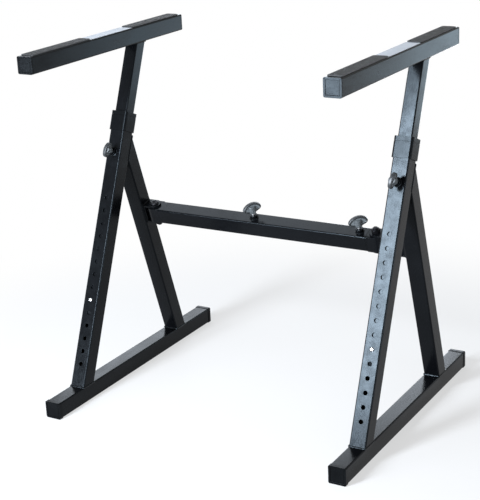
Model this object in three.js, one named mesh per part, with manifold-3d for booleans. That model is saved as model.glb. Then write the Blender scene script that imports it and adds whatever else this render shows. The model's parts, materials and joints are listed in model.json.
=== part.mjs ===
// Folding keyboard stand: two welded side frames on a telescopic crossbar, each with a height-adjustable arm.
// Millimetres, +Z up, +X to the right along the crossbar, -Y towards the player.
// The origin is on the floor, in the middle of the stand at its narrowest width.

import * as THREE from 'three';
import { mergeVertices } from 'three/addons/utils/BufferGeometryUtils.js';
import Module from 'manifold-3d';

const wasm = await Module();
wasm.setup();

// ---- Driving dimensions ----

// Square steel tube of the feet, legs, arms and crossbar.
const TUBE = 38;
const TUBE_WALL = 1.5;
const TUBE_CORNER = 3;
const LEAST_CORNER = 0.5;

// Smaller square tube that slides inside it: the posts and the inner crossbar tube.
const POST = 32;
const POST_WALL = 1.5;
const POST_CORNER = 2.5;

// Clearances.
const WELD_GAP = 0.3;
const PLUG_GAP = 0.3;
const GUIDE_GAP = 0.3;
const THREAD_GAP = 0.3;
const HINGE_GAP = 0.5;
const FOLD_GAP = 8;

// Side frames.
const FRAME_SPACING = 714;
const FOOT_LENGTH = 652;
const FRONT_LEG_SETBACK = 114;
const REAR_LEG_SETBACK = 141;
const FRONT_LEAN = 22.5;
const REAR_LEAN = 18;
const FRONT_LEG_LENGTH = 640;

// Height holes up the front face of each front leg, from the lowest.
const HOLE_COUNT = 14;
const HOLE_PITCH = 30;
const HOLE_DIAMETER = 9.5;
const LOWEST_HOLE = 47;
const HOLE_IN_USE = 5;

// Collar on the top of each front leg.
const COLLAR_HEIGHT = 45;
const COLLAR_WALL = 3;
const COLLAR_LIP = 5;
const COLLAR_SKIRT = 24;

// Posts and arms.
const POST_LENGTH = 650;
const GLIDE_FLANGE = 6;
const GLIDE_PLUG = 20;
const ARM_LENGTH = 580;
const ARM_REAR_OVERHANG = 174;

// Rubber pads on the arms.
const PAD_WIDTH = 33;
const PAD_THICKNESS = 2.5;
const PAD_CORNER = 4;
const PAD_BEVEL = 0.75;
const PAD_FROM_ARM_END = 10;
const FRONT_PAD_LENGTH = 204;
const REAR_PAD_LENGTH = 194;

// Plastic end caps.
const CAP_THICKNESS = 4;
const CAP_PLUG = 18;
const CAP_WALL = 2;
const CAP_BEVEL = 1.2;
const FOOT_CAP_THICKNESS = 9;
const FOOT_CAP_RIM = 1;

// Spring button low in each post.
const BUTTON_ABOVE_POST_END = 40;
const BUTTON_DIAMETER = 8.5;
const BUTTON_PROUD = 2.5;
const BUTTON_FLANGE_DIAMETER = 13;
const BUTTON_FLANGE = 1.5;
const SPRING_WIDTH = 11;
const SPRING_THICKNESS = 1;
const SPRING_LENGTH = 34;

// Clamp knobs: a weld nut on the tube, a screw and a two-lobed wing.
const SCREW_DIAMETER = 8;
const BOSS_DIAMETER = 18;
const BOSS_HEIGHT = 9;
const KNOB_STANDOFF = 15;
const SCREW_CHAMFER = 1;
const BOSS_CHAMFER = 1;
const LEG_WING_SPAN = 35;
const LEG_WING_HEIGHT = 22;
const BAR_WING_SPAN = 44;
const BAR_WING_HEIGHT = 26;
const WING_FOOT = 1;
const WING_CROWN_DROP = 1;
const WING_LOBE_RADIUS = 8;
const WING_THICKNESS = 9;
const WING_BEVEL = 1.6;
const WING_RIM = 3.5;
const WING_PANEL_DEPTH = 1;
const HUB_DIAMETER = 16;
const HUB_HEIGHT = 17;
const HUB_CROWN_CHAMFER = 3;
const HUB_FOOT_CHAMFER = 1;
const SCREW_IN_HUB = 12;
const CLAMP_BELOW_LEG_TOP = 96;
const LEFT_WING_TURN = 80;
const RIGHT_WING_TURN = 97;
const MIDDLE_WING_TURN = 52;
const END_WING_TURN = 40;

// Crossbar.
const BAR_HEIGHT = 381;
const WIDTH_TRAVEL = 210;
const BUSH_FLANGE = 3;
const BUSH_DEPTH = 11;
const BLOCK_SPIGOT = 20;
const MIDDLE_KNOB_FROM_END = 286;
const END_KNOB_FROM_END = 19;
const GLIDE_SHORT_OF_CLAMP = 20;

// Fold hinges at the crossbar's ends.
const LEFT_PIVOT_INSET = 25;
const HINGE_PLATE = 4;
const HINGE_PLATE_WIDTH = 30;
const HINGE_PLATE_TO_TUBE = 2;
const HINGE_CHEEK_FROM_PIVOT = 24;
const BOLT_DIAMETER = 10;
const BOLT_CHAMFER = 1;
const BOLT_HEAD_DIAMETER = 20;
const BOLT_HEAD_EDGE = 1;
const BOLT_HEAD_SHOULDER_DIAMETER = 16;
const BOLT_HEAD_SHOULDER = 3;
const BOLT_HEAD_FLAT_DIAMETER = 8;
const BOLT_HEAD_HEIGHT = 4;
const NUT_ACROSS_FLATS = 17;
const NUT_HEIGHT = 8;
const NUT_RING_DIAMETER = 14.6;
const NUT_RING_HEIGHT = 2;
const BOLT_THREAD_OUT = 2;

// Facets.
const CORNER_SEGMENTS = 2;
const ROUND_SEGMENTS = 16;
const HOLE_SEGMENTS = 12;
const LOBE_SEGMENTS = 5;
const PANEL_SEGMENTS = 3;

// How far a cutter runs past what it cuts, and joined solids into each other.
const MARGIN = 1;

// ---- Places worked out from them ----

const radians = THREE.MathUtils.degToRad;
const FOOT_TOP = FOOT_CAP_RIM + TUBE;
const FRONT_LEG_Y = -FOOT_LENGTH / 2 + FRONT_LEG_SETBACK;
const REAR_LEG_Y = FOOT_LENGTH / 2 - REAR_LEG_SETBACK;
const TUBE_BORE = TUBE - 2 * TUBE_WALL;
const POST_BORE = POST - 2 * POST_WALL;
const CLAMP_HEIGHT = FRONT_LEG_LENGTH - CLAMP_BELOW_LEG_TOP;

const BUTTON_HEIGHT = LOWEST_HOLE + HOLE_IN_USE * HOLE_PITCH;
const POST_BOTTOM = BUTTON_HEIGHT - BUTTON_ABOVE_POST_END;
const POST_TOP = POST_BOTTOM + POST_LENGTH;
const ARM_BOTTOM = FOOT_TOP + POST_TOP * Math.cos(radians(FRONT_LEAN));
const ARM_REAR_Y = FRONT_LEG_Y + POST_TOP * Math.sin(radians(FRONT_LEAN)) + ARM_REAR_OVERHANG;
const ARM_FRONT_Y = ARM_REAR_Y - ARM_LENGTH;

const BAR_Y = REAR_LEG_Y - (BAR_HEIGHT - FOOT_TOP) * Math.tan(radians(REAR_LEAN));
const LEG_INNER_X = FRAME_SPACING / 2 - TUBE / 2;
const RIGHT_PIVOT_INSET = LEFT_PIVOT_INSET + TUBE + FOLD_GAP;
const LEFT_PIVOT_X = -LEG_INNER_X + LEFT_PIVOT_INSET;
const RIGHT_PIVOT_X = LEG_INNER_X - RIGHT_PIVOT_INSET;
const PLATE_NOSE = HINGE_PLATE_WIDTH / 2;
const OUTER_TUBE_LEFT = LEFT_PIVOT_X + PLATE_NOSE + HINGE_PLATE_TO_TUBE;
const BLOCK_FACE_RIGHT = RIGHT_PIVOT_X - PLATE_NOSE - HINGE_PLATE_TO_TUBE;
const OUTER_TUBE_RIGHT = BLOCK_FACE_RIGHT - BUSH_FLANGE - 2 * PLUG_GAP;
const HINGE_PLATE_BASE = TUBE / 2 + HINGE_GAP;
const HINGE_PLATE_FACE = HINGE_PLATE_BASE + HINGE_PLATE;

// ---- Materials ----

const powderCoat = new THREE.MeshStandardMaterial({ color: 0x17181b, roughness: 0.42, metalness: 0.35 });
const blackPlastic = new THREE.MeshStandardMaterial({ color: 0x0e0f10, roughness: 0.5, metalness: 0 });
const padRubber = new THREE.MeshStandardMaterial({ color: 0x141414, roughness: 0.9, metalness: 0 });
const zincSteel = new THREE.MeshStandardMaterial({ color: 0xb4b7ba, roughness: 0.35, metalness: 0.9 });
const blackZinc = new THREE.MeshStandardMaterial({ color: 0x26282b, roughness: 0.38, metalness: 0.9 });
const springSteel = new THREE.MeshStandardMaterial({ color: 0x6d7074, roughness: 0.4, metalness: 0.9 });

// ---- Solids ----

// A closed three.js geometry as a manifold solid.
function solid(geometry) {
  const bare = geometry.index ? geometry.toNonIndexed() : geometry.clone();
  for (const attribute of Object.keys(bare.attributes)) {
    if (attribute !== 'position') bare.deleteAttribute(attribute);
  }
  const merged = mergeVertices(bare, 1e-4);
  return new wasm.Manifold(new wasm.Mesh({
    numProp: 3,
    vertProperties: new Float32Array(merged.attributes.position.array),
    triVerts: new Uint32Array(merged.index.array),
  }));
}

// A manifold solid as a three.js geometry.
function geometryOf(body) {
  const mesh = body.getMesh();
  const geometry = new THREE.BufferGeometry();
  geometry.setAttribute('position', new THREE.BufferAttribute(mesh.vertProperties, 3));
  geometry.setIndex(new THREE.BufferAttribute(mesh.triVerts, 1));
  return geometry;
}

function mesh(name, body, material) {
  const piece = new THREE.Mesh(geometryOf(body), material);
  piece.geometry.computeVertexNormals();
  piece.name = name;
  return piece;
}

function box(width, depth, height, x = 0, y = 0, z = 0) {
  return new THREE.BoxGeometry(width, depth, height).translate(x, y, z);
}

// A cylinder along Z from bottom to top.
function cylinder(diameter, bottom, top, x = 0, y = 0, segments = ROUND_SEGMENTS) {
  const height = top - bottom;
  return new THREE.CylinderGeometry(diameter / 2, diameter / 2, height, segments)
    .rotateX(Math.PI / 2)
    .translate(x, y, bottom + height / 2);
}

function roundedRectangle(width, depth, corner) {
  const [right, rear] = [width / 2, depth / 2];
  const shape = new THREE.Shape();
  const corners = [[right, -rear, -90], [right, rear, 0], [-right, rear, 90], [-right, -rear, 180]];
  for (const [x, y, from] of corners) {
    const centreX = x - Math.sign(x) * corner;
    const centreY = y - Math.sign(y) * corner;
    shape.absarc(centreX, centreY, corner, radians(from), radians(from + 90), false);
  }
  shape.closePath();
  return shape;
}

// A prism of a shape from bottom to top along Z, its outline kept where the ends are bevelled.
function prism(shape, bottom, top, bevel = 0, segments = CORNER_SEGMENTS) {
  return new THREE.ExtrudeGeometry(shape, {
    depth: top - bottom - 2 * bevel,
    curveSegments: segments,
    bevelEnabled: bevel > 0,
    bevelThickness: bevel,
    bevelSize: bevel,
    bevelOffset: -bevel,
    bevelSegments: 1,
  }).translate(0, 0, bottom + bevel);
}

function squareBar(size, corner, bottom, top, bevel = 0) {
  return solid(prism(roundedRectangle(size, size, corner), bottom, top, bevel));
}

// A square tube along Z from bottom to top.
function squareTube(size, wall, corner, bottom, top) {
  const bore = size - 2 * wall;
  const shape = roundedRectangle(size, size, corner);
  shape.holes.push(roundedRectangle(bore, bore, Math.max(corner - wall, LEAST_CORNER)));
  return solid(prism(shape, bottom, top));
}

// A solid that runs along Z, turned to run along X.
function alongX(body) {
  return geometryOf(body).rotateY(Math.PI / 2);
}

// A group in the middle plane of a side frame, leaning about X: positive degrees lean its top to the front.
function leaningGroup(y, z, lean) {
  const group = new THREE.Group();
  group.position.set(0, y, z);
  group.rotation.x = radians(lean);
  group.updateMatrix();
  return group;
}

const frontLegPlace = leaningGroup(FRONT_LEG_Y, FOOT_TOP, -FRONT_LEAN).matrix;
const rearLegPlace = leaningGroup(REAR_LEG_Y, FOOT_TOP, REAR_LEAN).matrix;
const CUTTER = 400;

// A cutter given in one place, as a solid in the coordinates of another.
function cutterFrom(geometry, place, target) {
  return solid(geometry.applyMatrix4(place).applyMatrix4(target.clone().invert()));
}

// All that lies below or above a level height of the stand, in the coordinates of a leaning leg.
function below(level, y, target) {
  return cutterFrom(box(CUTTER, CUTTER, CUTTER, 0, y, level - CUTTER / 2), new THREE.Matrix4(), target);
}

function above(level, y, target) {
  return cutterFrom(box(CUTTER, CUTTER, CUTTER, 0, y, level + CUTTER / 2), new THREE.Matrix4(), target);
}

// ---- Plastic fittings ----

// An end cap along Z: a bevelled head whose inner face is at 0, and a hollow plug below it.
function endCap(size, head, bore) {
  const plugSize = bore - 2 * PLUG_GAP;
  const plugCorner = TUBE_CORNER - TUBE_WALL;
  const plug = squareTube(plugSize, CAP_WALL, plugCorner, -CAP_PLUG, CAP_WALL);
  return squareBar(size, TUBE_CORNER, 0, head, CAP_BEVEL).add(plug);
}

// The collar: a sleeve over the leg's top, a lip over its end and a skirt between leg and post.
function collar() {
  const outside = TUBE + 2 * COLLAR_WALL;
  const socket = TUBE + 2 * PLUG_GAP;
  const legEnd = FRONT_LEG_LENGTH - COLLAR_LIP;
  const skirtSize = TUBE_BORE - 2 * PLUG_GAP;
  const passage = POST + 2 * GUIDE_GAP;
  const bottom = FRONT_LEG_LENGTH - COLLAR_HEIGHT;
  const corner = TUBE_CORNER + COLLAR_WALL;
  return squareBar(outside, corner, bottom, FRONT_LEG_LENGTH, CAP_BEVEL)
    .subtract(squareBar(socket, TUBE_CORNER, bottom - MARGIN, legEnd))
    .add(squareBar(skirtSize, TUBE_CORNER - TUBE_WALL, legEnd - COLLAR_SKIRT, legEnd + MARGIN))
    .subtract(squareBar(passage, POST_CORNER, bottom - COLLAR_SKIRT, FRONT_LEG_LENGTH + MARGIN));
}

// The guide plugged into the foot of a post, or the inner end of the inner crossbar tube.
function slidePlug(flangeBottom) {
  const flangeTop = flangeBottom + GLIDE_FLANGE;
  const plugSize = POST_BORE - 2 * PLUG_GAP;
  const plugCorner = POST_CORNER - POST_WALL;
  const flangeSize = TUBE_BORE - 2 * GUIDE_GAP;
  const flange = squareBar(flangeSize, TUBE_CORNER - TUBE_WALL, flangeBottom, flangeTop, CAP_BEVEL);
  const plug = squareTube(plugSize, CAP_WALL, plugCorner, flangeTop - MARGIN, flangeTop + GLIDE_PLUG);
  return flange.add(plug);
}

// ---- Clamp knobs, each along Z from the face of the tube it stands on ----

function weldNut() {
  const radius = BOSS_DIAMETER / 2;
  const bore = SCREW_DIAMETER / 2 + THREAD_GAP;
  return lathe([[bore, WELD_GAP], [radius, WELD_GAP], [radius, BOSS_HEIGHT - BOSS_CHAMFER],
    [radius - BOSS_CHAMFER, BOSS_HEIGHT], [bore, BOSS_HEIGHT], [bore, WELD_GAP]]);
}

// A turned solid about Z from a profile of [radius, height] points, anticlockwise.
function lathe(profile) {
  const points = profile.map(([radius, height]) => new THREE.Vector2(radius, height));
  return solid(new THREE.LatheGeometry(points, ROUND_SEGMENTS).rotateX(Math.PI / 2));
}

function clampScrew(depth) {
  const radius = SCREW_DIAMETER / 2;
  const tip = -depth;
  const end = KNOB_STANDOFF + SCREW_IN_HUB;
  return lathe([[0, tip], [radius - SCREW_CHAMFER, tip], [radius, tip + SCREW_CHAMFER],
    [radius, end], [0, end]]);
}

// The outline of a wing's blade, kept inset from its edge: a crown arc that runs into two round lobes.
function fanOutline(span, height, inset) {
  const lobeRadius = WING_LOBE_RADIUS - inset;
  const lobeX = span / 2 - WING_LOBE_RADIUS;
  const lobeRise = Math.sqrt((height + WING_CROWN_DROP - WING_LOBE_RADIUS) ** 2 - lobeX ** 2);
  const lobeZ = lobeRise - WING_CROWN_DROP;
  const crownRadius = height + WING_CROWN_DROP - inset;
  const shoulder = Math.atan2(lobeRise, lobeX);
  const neck = HUB_DIAMETER / 2 - HUB_FOOT_CHAMFER - inset;
  const outline = new THREE.Shape();
  outline.moveTo(-neck, WING_FOOT + inset);
  outline.lineTo(neck, WING_FOOT + inset);
  outline.absarc(lobeX, lobeZ, lobeRadius, -Math.PI / 2, shoulder, false);
  outline.absarc(0, -WING_CROWN_DROP, crownRadius, shoulder, Math.PI - shoulder, false);
  outline.absarc(-lobeX, lobeZ, lobeRadius, Math.PI - shoulder, Math.PI * 1.5, false);
  outline.closePath();
  return outline;
}

// The wing: a fan-shaped blade with a sunk panel in each side, on a round hub.
function clampWing(span, height) {
  const half = WING_THICKNESS / 2;
  const panelFloor = half - WING_PANEL_DEPTH;
  const blade = solid(prism(fanOutline(span, height, 0), -half, half, WING_BEVEL, LOBE_SEGMENTS));
  const panel = solid(prism(fanOutline(span, height, WING_RIM), panelFloor, half + MARGIN, 0, PANEL_SEGMENTS));
  const sunk = blade.subtract(panel).subtract(panel.mirror([0, 0, 1]));
  const radius = HUB_DIAMETER / 2;
  const hub = lathe([[0, 0], [radius - HUB_FOOT_CHAMFER, 0], [radius, HUB_FOOT_CHAMFER],
    [radius, HUB_HEIGHT - HUB_CROWN_CHAMFER], [radius - HUB_CROWN_CHAMFER, HUB_HEIGHT], [0, HUB_HEIGHT]]);
  const bore = cylinder(SCREW_DIAMETER + 2 * THREAD_GAP, -MARGIN, SCREW_IN_HUB + THREAD_GAP);
  return sunk.rotate([90, 0, 0]).add(hub).subtract(solid(bore));
}

// Weld nut, screw and wing on the face of an outer tube; turn is where the wing's long axis points.
function clampKnob(prefix, turn, span, height) {
  const group = new THREE.Group();
  group.add(mesh(`${prefix}_weld_nut`, weldNut(), powderCoat));
  const knob = new THREE.Group();
  knob.rotation.z = radians(turn);
  knob.add(mesh(`${prefix}_screw`, clampScrew((TUBE - POST) / 2 - GUIDE_GAP), zincSteel));
  const wing = mesh(`${prefix}_wing`, clampWing(span, height), blackPlastic);
  wing.position.z = KNOB_STANDOFF;
  knob.add(wing);
  group.add(knob);
  return group;
}

// ---- Spring button, along Z outwards from the middle line of its post ----

function snapButton() {
  const tip = TUBE / 2 + BUTTON_PROUD;
  const radius = BUTTON_DIAMETER / 2;
  const flangeTop = POST_BORE / 2 - GUIDE_GAP;
  const flangeRadius = BUTTON_FLANGE_DIAMETER / 2;
  const dome = [0, 30, 60, 90].map((angle) => [
    radius * Math.cos(radians(angle)),
    tip - BUTTON_PROUD * (1 - Math.sin(radians(angle))),
  ]);
  return lathe([[0, flangeTop - BUTTON_FLANGE], [flangeRadius, flangeTop - BUTTON_FLANGE],
    [flangeRadius, flangeTop], [radius, flangeTop], ...dome.slice(0, -1), [0, tip]]);
}

// The spring behind it: a strip bent into a U between the button and the post's back wall.
function buttonSpring() {
  const front = POST_BORE / 2 - 2 * GUIDE_GAP - BUTTON_FLANGE;
  const rear = -POST_BORE / 2 + GUIDE_GAP;
  const middle = (front + rear) / 2;
  const radius = (front - rear) / 2;
  const rise = BUTTON_FLANGE_DIAMETER / 2;
  const bend = -SPRING_LENGTH + rise + radius;
  const strip = new THREE.Shape();
  strip.moveTo(rise, front);
  strip.lineTo(bend, front);
  strip.absarc(bend, middle, radius, radians(90), radians(270), false);
  strip.lineTo(rise, rear);
  strip.lineTo(rise, rear + SPRING_THICKNESS);
  strip.absarc(bend, middle, radius - SPRING_THICKNESS, radians(270), radians(90), true);
  strip.lineTo(rise, front - SPRING_THICKNESS);
  strip.closePath();
  return solid(prism(strip, -SPRING_WIDTH / 2, SPRING_WIDTH / 2, 0, LOBE_SEGMENTS));
}

// ---- Fold hinges, about Z at the pivot, with the leg on the +X side ----

// A forked bracket welded to the leg: a foot plate, two round-nosed plates and, on a long one, a rear cheek.
function hingeBracket(inset) {
  const legFace = inset - WELD_GAP;
  const faceHeight = 2 * HINGE_PLATE_FACE;
  const plan = new THREE.Shape();
  plan.moveTo(0, -PLATE_NOSE);
  plan.lineTo(legFace, -PLATE_NOSE);
  plan.lineTo(legFace, PLATE_NOSE);
  plan.lineTo(0, PLATE_NOSE);
  plan.absarc(0, 0, PLATE_NOSE, radians(90), radians(270), false);
  const block = solid(prism(plan, -HINGE_PLATE_FACE, HINGE_PLATE_FACE, 0, LOBE_SEGMENTS));
  const forkLength = legFace - HINGE_PLATE;
  const gap = box(CUTTER, faceHeight, 2 * HINGE_PLATE_BASE, forkLength - CUTTER / 2);
  let fork = solid(gap);
  if (forkLength > HINGE_CHEEK_FROM_PIVOT) {
    const cheekMiddle = HINGE_CHEEK_FROM_PIVOT + CUTTER / 2;
    const cheek = box(CUTTER, HINGE_PLATE, faceHeight, cheekMiddle, PLATE_NOSE - HINGE_PLATE / 2);
    fork = fork.subtract(solid(cheek));
  }
  const bore = cylinder(BOLT_DIAMETER + 2 * THREAD_GAP, -faceHeight, faceHeight);
  return block.subtract(fork).subtract(solid(bore));
}

// The pivot bolt, its low round head up.
function hingeBolt() {
  const headBottom = HINGE_PLATE_FACE + WELD_GAP;
  const radius = BOLT_DIAMETER / 2;
  const headRadius = BOLT_HEAD_DIAMETER / 2;
  const end = -HINGE_PLATE_FACE - WELD_GAP - NUT_HEIGHT - NUT_RING_HEIGHT - BOLT_THREAD_OUT;
  const shoulder = [BOLT_HEAD_SHOULDER_DIAMETER / 2, headBottom + BOLT_HEAD_SHOULDER];
  const flat = [BOLT_HEAD_FLAT_DIAMETER / 2, headBottom + BOLT_HEAD_HEIGHT];
  return lathe([[0, end], [radius - BOLT_CHAMFER, end], [radius, end + BOLT_CHAMFER], [radius, headBottom],
    [headRadius, headBottom], [headRadius, headBottom + BOLT_HEAD_EDGE], shoulder, flat,
    [0, headBottom + BOLT_HEAD_HEIGHT]]);
}

// The locking nut under it: a hexagon with a round ring below.
function hingeNut() {
  const top = -HINGE_PLATE_FACE - WELD_GAP;
  const bottom = top - NUT_HEIGHT;
  const acrossCorners = NUT_ACROSS_FLATS / Math.cos(Math.PI / 6);
  const hexagon = solid(cylinder(acrossCorners, bottom, top, 0, 0, 6));
  const ring = solid(cylinder(NUT_RING_DIAMETER, bottom - NUT_RING_HEIGHT, bottom + MARGIN));
  const bore = solid(cylinder(BOLT_DIAMETER + 2 * THREAD_GAP, bottom - NUT_HEIGHT, top + MARGIN));
  return hexagon.add(ring).subtract(bore);
}

// A hinge set on its pivot; the left one has its nut below, the right one above.
function foldHinge(prefix, side) {
  const group = new THREE.Group();
  const inset = side > 0 ? RIGHT_PIVOT_INSET : LEFT_PIVOT_INSET;
  group.position.x = side > 0 ? RIGHT_PIVOT_X : LEFT_PIVOT_X;
  const bracket = mesh(`${prefix}_hinge_bracket`, hingeBracket(inset), powderCoat);
  bracket.rotation.y = side > 0 ? 0 : Math.PI;
  group.add(bracket);
  const fastener = new THREE.Group();
  fastener.rotation.x = side > 0 ? Math.PI : 0;
  fastener.add(mesh(`${prefix}_hinge_bolt`, hingeBolt(), blackZinc));
  fastener.add(mesh(`${prefix}_hinge_nut`, hingeNut(), blackZinc));
  group.add(fastener);
  return group;
}

// ---- Side frames ----

function footTube() {
  const half = FOOT_LENGTH / 2 - FOOT_CAP_THICKNESS - WELD_GAP;
  return squareTube(TUBE, TUBE_WALL, TUBE_CORNER, -half, half);
}

function frontLeg() {
  const top = FRONT_LEG_LENGTH - COLLAR_LIP - PLUG_GAP;
  let leg = squareTube(TUBE, TUBE_WALL, TUBE_CORNER, -TUBE, top);
  leg = leg.subtract(below(FOOT_TOP + WELD_GAP, FRONT_LEG_Y, frontLegPlace));
  for (let index = 0; index < HOLE_COUNT; index += 1) {
    leg = leg.subtract(frontHole(HOLE_DIAMETER, LOWEST_HOLE + index * HOLE_PITCH, TUBE, HOLE_SEGMENTS));
  }
  return leg.subtract(frontHole(SCREW_DIAMETER + 2 * THREAD_GAP, CLAMP_HEIGHT, TUBE));
}

// A hole through the front wall of a tube that runs along Z.
function frontHole(diameter, height, size, segments = ROUND_SEGMENTS) {
  const drill = cylinder(diameter, size / 2 - 2 * TUBE_WALL, size / 2 + TUBE_WALL, 0, 0, segments);
  return solid(drill.rotateX(Math.PI / 2).translate(0, 0, height));
}

function rearLeg() {
  const reach = FRONT_LEG_LENGTH;
  const behindFrontLeg = box(CUTTER, CUTTER, 4 * reach, 0, TUBE / 2 + WELD_GAP - CUTTER / 2, 0);
  return squareTube(TUBE, TUBE_WALL, TUBE_CORNER, -TUBE, reach)
    .subtract(below(FOOT_TOP + WELD_GAP, REAR_LEG_Y, rearLegPlace))
    .subtract(cutterFrom(behindFrontLeg, frontLegPlace, rearLegPlace));
}

function sideFrame(prefix, side, knobTurn) {
  const frame = new THREE.Group();

  const foot = new THREE.Group();
  foot.position.z = FOOT_CAP_RIM + TUBE / 2;
  foot.rotation.x = Math.PI / 2;
  foot.add(mesh(`${prefix}_foot_tube`, footTube(), powderCoat));
  const capSize = TUBE + 2 * FOOT_CAP_RIM;
  for (const [end, turn] of [['front', 0], ['rear', Math.PI]]) {
    const cap = mesh(`${prefix}_foot_cap_${end}`, endCap(capSize, FOOT_CAP_THICKNESS, TUBE_BORE), blackPlastic);
    cap.rotation.x = turn;
    cap.position.z = (FOOT_LENGTH / 2 - FOOT_CAP_THICKNESS) * Math.cos(turn);
    foot.add(cap);
  }
  frame.add(foot);

  const front = leaningGroup(FRONT_LEG_Y, FOOT_TOP, -FRONT_LEAN);
  front.add(mesh(`${prefix}_front_leg`, frontLeg(), powderCoat));
  front.add(mesh(`${prefix}_leg_collar`, collar(), blackPlastic));
  const clamp = clampKnob(`${prefix}_clamp`, knobTurn, LEG_WING_SPAN, LEG_WING_HEIGHT);
  clamp.rotation.x = Math.PI / 2;
  clamp.position.set(0, -TUBE / 2, CLAMP_HEIGHT);
  front.add(clamp);
  frame.add(front);

  const rear = leaningGroup(REAR_LEG_Y, FOOT_TOP, REAR_LEAN);
  rear.add(mesh(`${prefix}_rear_leg`, rearLeg(), powderCoat));
  frame.add(rear);

  frame.position.x = side * FRAME_SPACING / 2;
  return frame;
}

// ---- Height-adjustable supports: a post with an arm across its top ----

function postTube() {
  const bottom = POST_BOTTOM + GLIDE_FLANGE + PLUG_GAP;
  return squareTube(POST, POST_WALL, POST_CORNER, bottom, POST_TOP + TUBE)
    .subtract(above(ARM_BOTTOM - WELD_GAP, 0, frontLegPlace))
    .subtract(frontHole(BUTTON_DIAMETER + 2 * GUIDE_GAP, BUTTON_HEIGHT, POST));
}

// A pad on an arm's top, its middle at y.
function armPad(length, y) {
  const pad = prism(roundedRectangle(PAD_WIDTH, length, PAD_CORNER), 0, PAD_THICKNESS, PAD_BEVEL);
  return solid(pad.translate(0, y, ARM_BOTTOM + TUBE + PLUG_GAP));
}

function support(prefix, side) {
  const group = new THREE.Group();

  const post = leaningGroup(FRONT_LEG_Y, FOOT_TOP, -FRONT_LEAN);
  post.add(mesh(`${prefix}_post`, postTube(), powderCoat));
  post.add(mesh(`${prefix}_post_glide`, slidePlug(POST_BOTTOM), blackPlastic));
  const catchGroup = new THREE.Group();
  catchGroup.position.z = BUTTON_HEIGHT;
  const button = mesh(`${prefix}_snap_button`, snapButton(), zincSteel);
  button.rotation.x = Math.PI / 2;
  catchGroup.add(button);
  const spring = mesh(`${prefix}_button_spring`, buttonSpring(), springSteel);
  spring.rotation.set(0, -Math.PI / 2, Math.PI);
  catchGroup.add(spring);
  post.add(catchGroup);
  group.add(post);

  const arm = new THREE.Group();
  arm.position.set(0, (ARM_FRONT_Y + ARM_REAR_Y) / 2, ARM_BOTTOM + TUBE / 2);
  arm.rotation.x = Math.PI / 2;
  const half = ARM_LENGTH / 2 - CAP_THICKNESS - WELD_GAP;
  arm.add(mesh(`${prefix}_arm_tube`, squareTube(TUBE, TUBE_WALL, TUBE_CORNER, -half, half), powderCoat));
  for (const [end, turn] of [['front', 0], ['rear', Math.PI]]) {
    const cap = mesh(`${prefix}_arm_cap_${end}`, endCap(TUBE, CAP_THICKNESS, TUBE_BORE), blackPlastic);
    cap.rotation.x = turn;
    cap.position.z = (ARM_LENGTH / 2 - CAP_THICKNESS) * Math.cos(turn);
    arm.add(cap);
  }
  group.add(arm);

  const frontPadY = ARM_FRONT_Y + PAD_FROM_ARM_END + FRONT_PAD_LENGTH / 2;
  const rearPadY = ARM_REAR_Y - PAD_FROM_ARM_END - REAR_PAD_LENGTH / 2;
  group.add(mesh(`${prefix}_arm_pad_front`, armPad(FRONT_PAD_LENGTH, frontPadY), padRubber));
  group.add(mesh(`${prefix}_arm_pad_rear`, armPad(REAR_PAD_LENGTH, rearPadY), padRubber));
  group.position.x = side * FRAME_SPACING / 2;
  return group;
}

// ---- Crossbar, along X in a group that leans with the rear legs ----

// The end block that the hinge plates hold: a round-ended tongue and a spigot in the tube's end.
function endBlock(pivotToTube, spigotSize, spigotCorner) {
  const plan = new THREE.Shape();
  const half = TUBE / 2;
  plan.moveTo(pivotToTube, -half);
  plan.lineTo(pivotToTube, half);
  plan.lineTo(0, half);
  plan.absarc(0, 0, half, radians(90), radians(270), false);
  const tongue = solid(prism(plan, -half, half, 0, 2 * LOBE_SEGMENTS));
  const spigotEnd = pivotToTube + BLOCK_SPIGOT;
  const spigot = solid(alongX(squareBar(spigotSize, spigotCorner, pivotToTube - MARGIN, spigotEnd)));
  const bore = solid(cylinder(BOLT_DIAMETER + 2 * THREAD_GAP, -TUBE, TUBE));
  return tongue.add(spigot).subtract(bore);
}

function outerBarTube(knobPlaces) {
  const tube = squareTube(TUBE, TUBE_WALL, TUBE_CORNER, OUTER_TUBE_LEFT, OUTER_TUBE_RIGHT);
  return knobPlaces.reduce((body, x) => {
    const drill = cylinder(SCREW_DIAMETER + 2 * THREAD_GAP, TUBE / 2 - 2 * TUBE_WALL, TUBE / 2 + TUBE_WALL, x);
    return body.subtract(solid(drill));
  }, solid(alongX(tube)));
}

// The bush in the outer tube's open end: a flange over the end and a sleeve round the inner tube.
function barBush() {
  const flangeLeft = OUTER_TUBE_RIGHT + PLUG_GAP;
  const sleeveSize = TUBE_BORE - 2 * PLUG_GAP;
  const flange = squareBar(TUBE, TUBE_CORNER, flangeLeft, flangeLeft + BUSH_FLANGE);
  const sleeveCorner = TUBE_CORNER - TUBE_WALL;
  const sleeve = squareBar(sleeveSize, sleeveCorner, flangeLeft - BUSH_DEPTH, flangeLeft + MARGIN);
  const passage = squareBar(POST + 2 * GUIDE_GAP, POST_CORNER, flangeLeft - TUBE, flangeLeft + TUBE);
  return solid(alongX(flange.add(sleeve).subtract(passage)));
}

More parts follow.
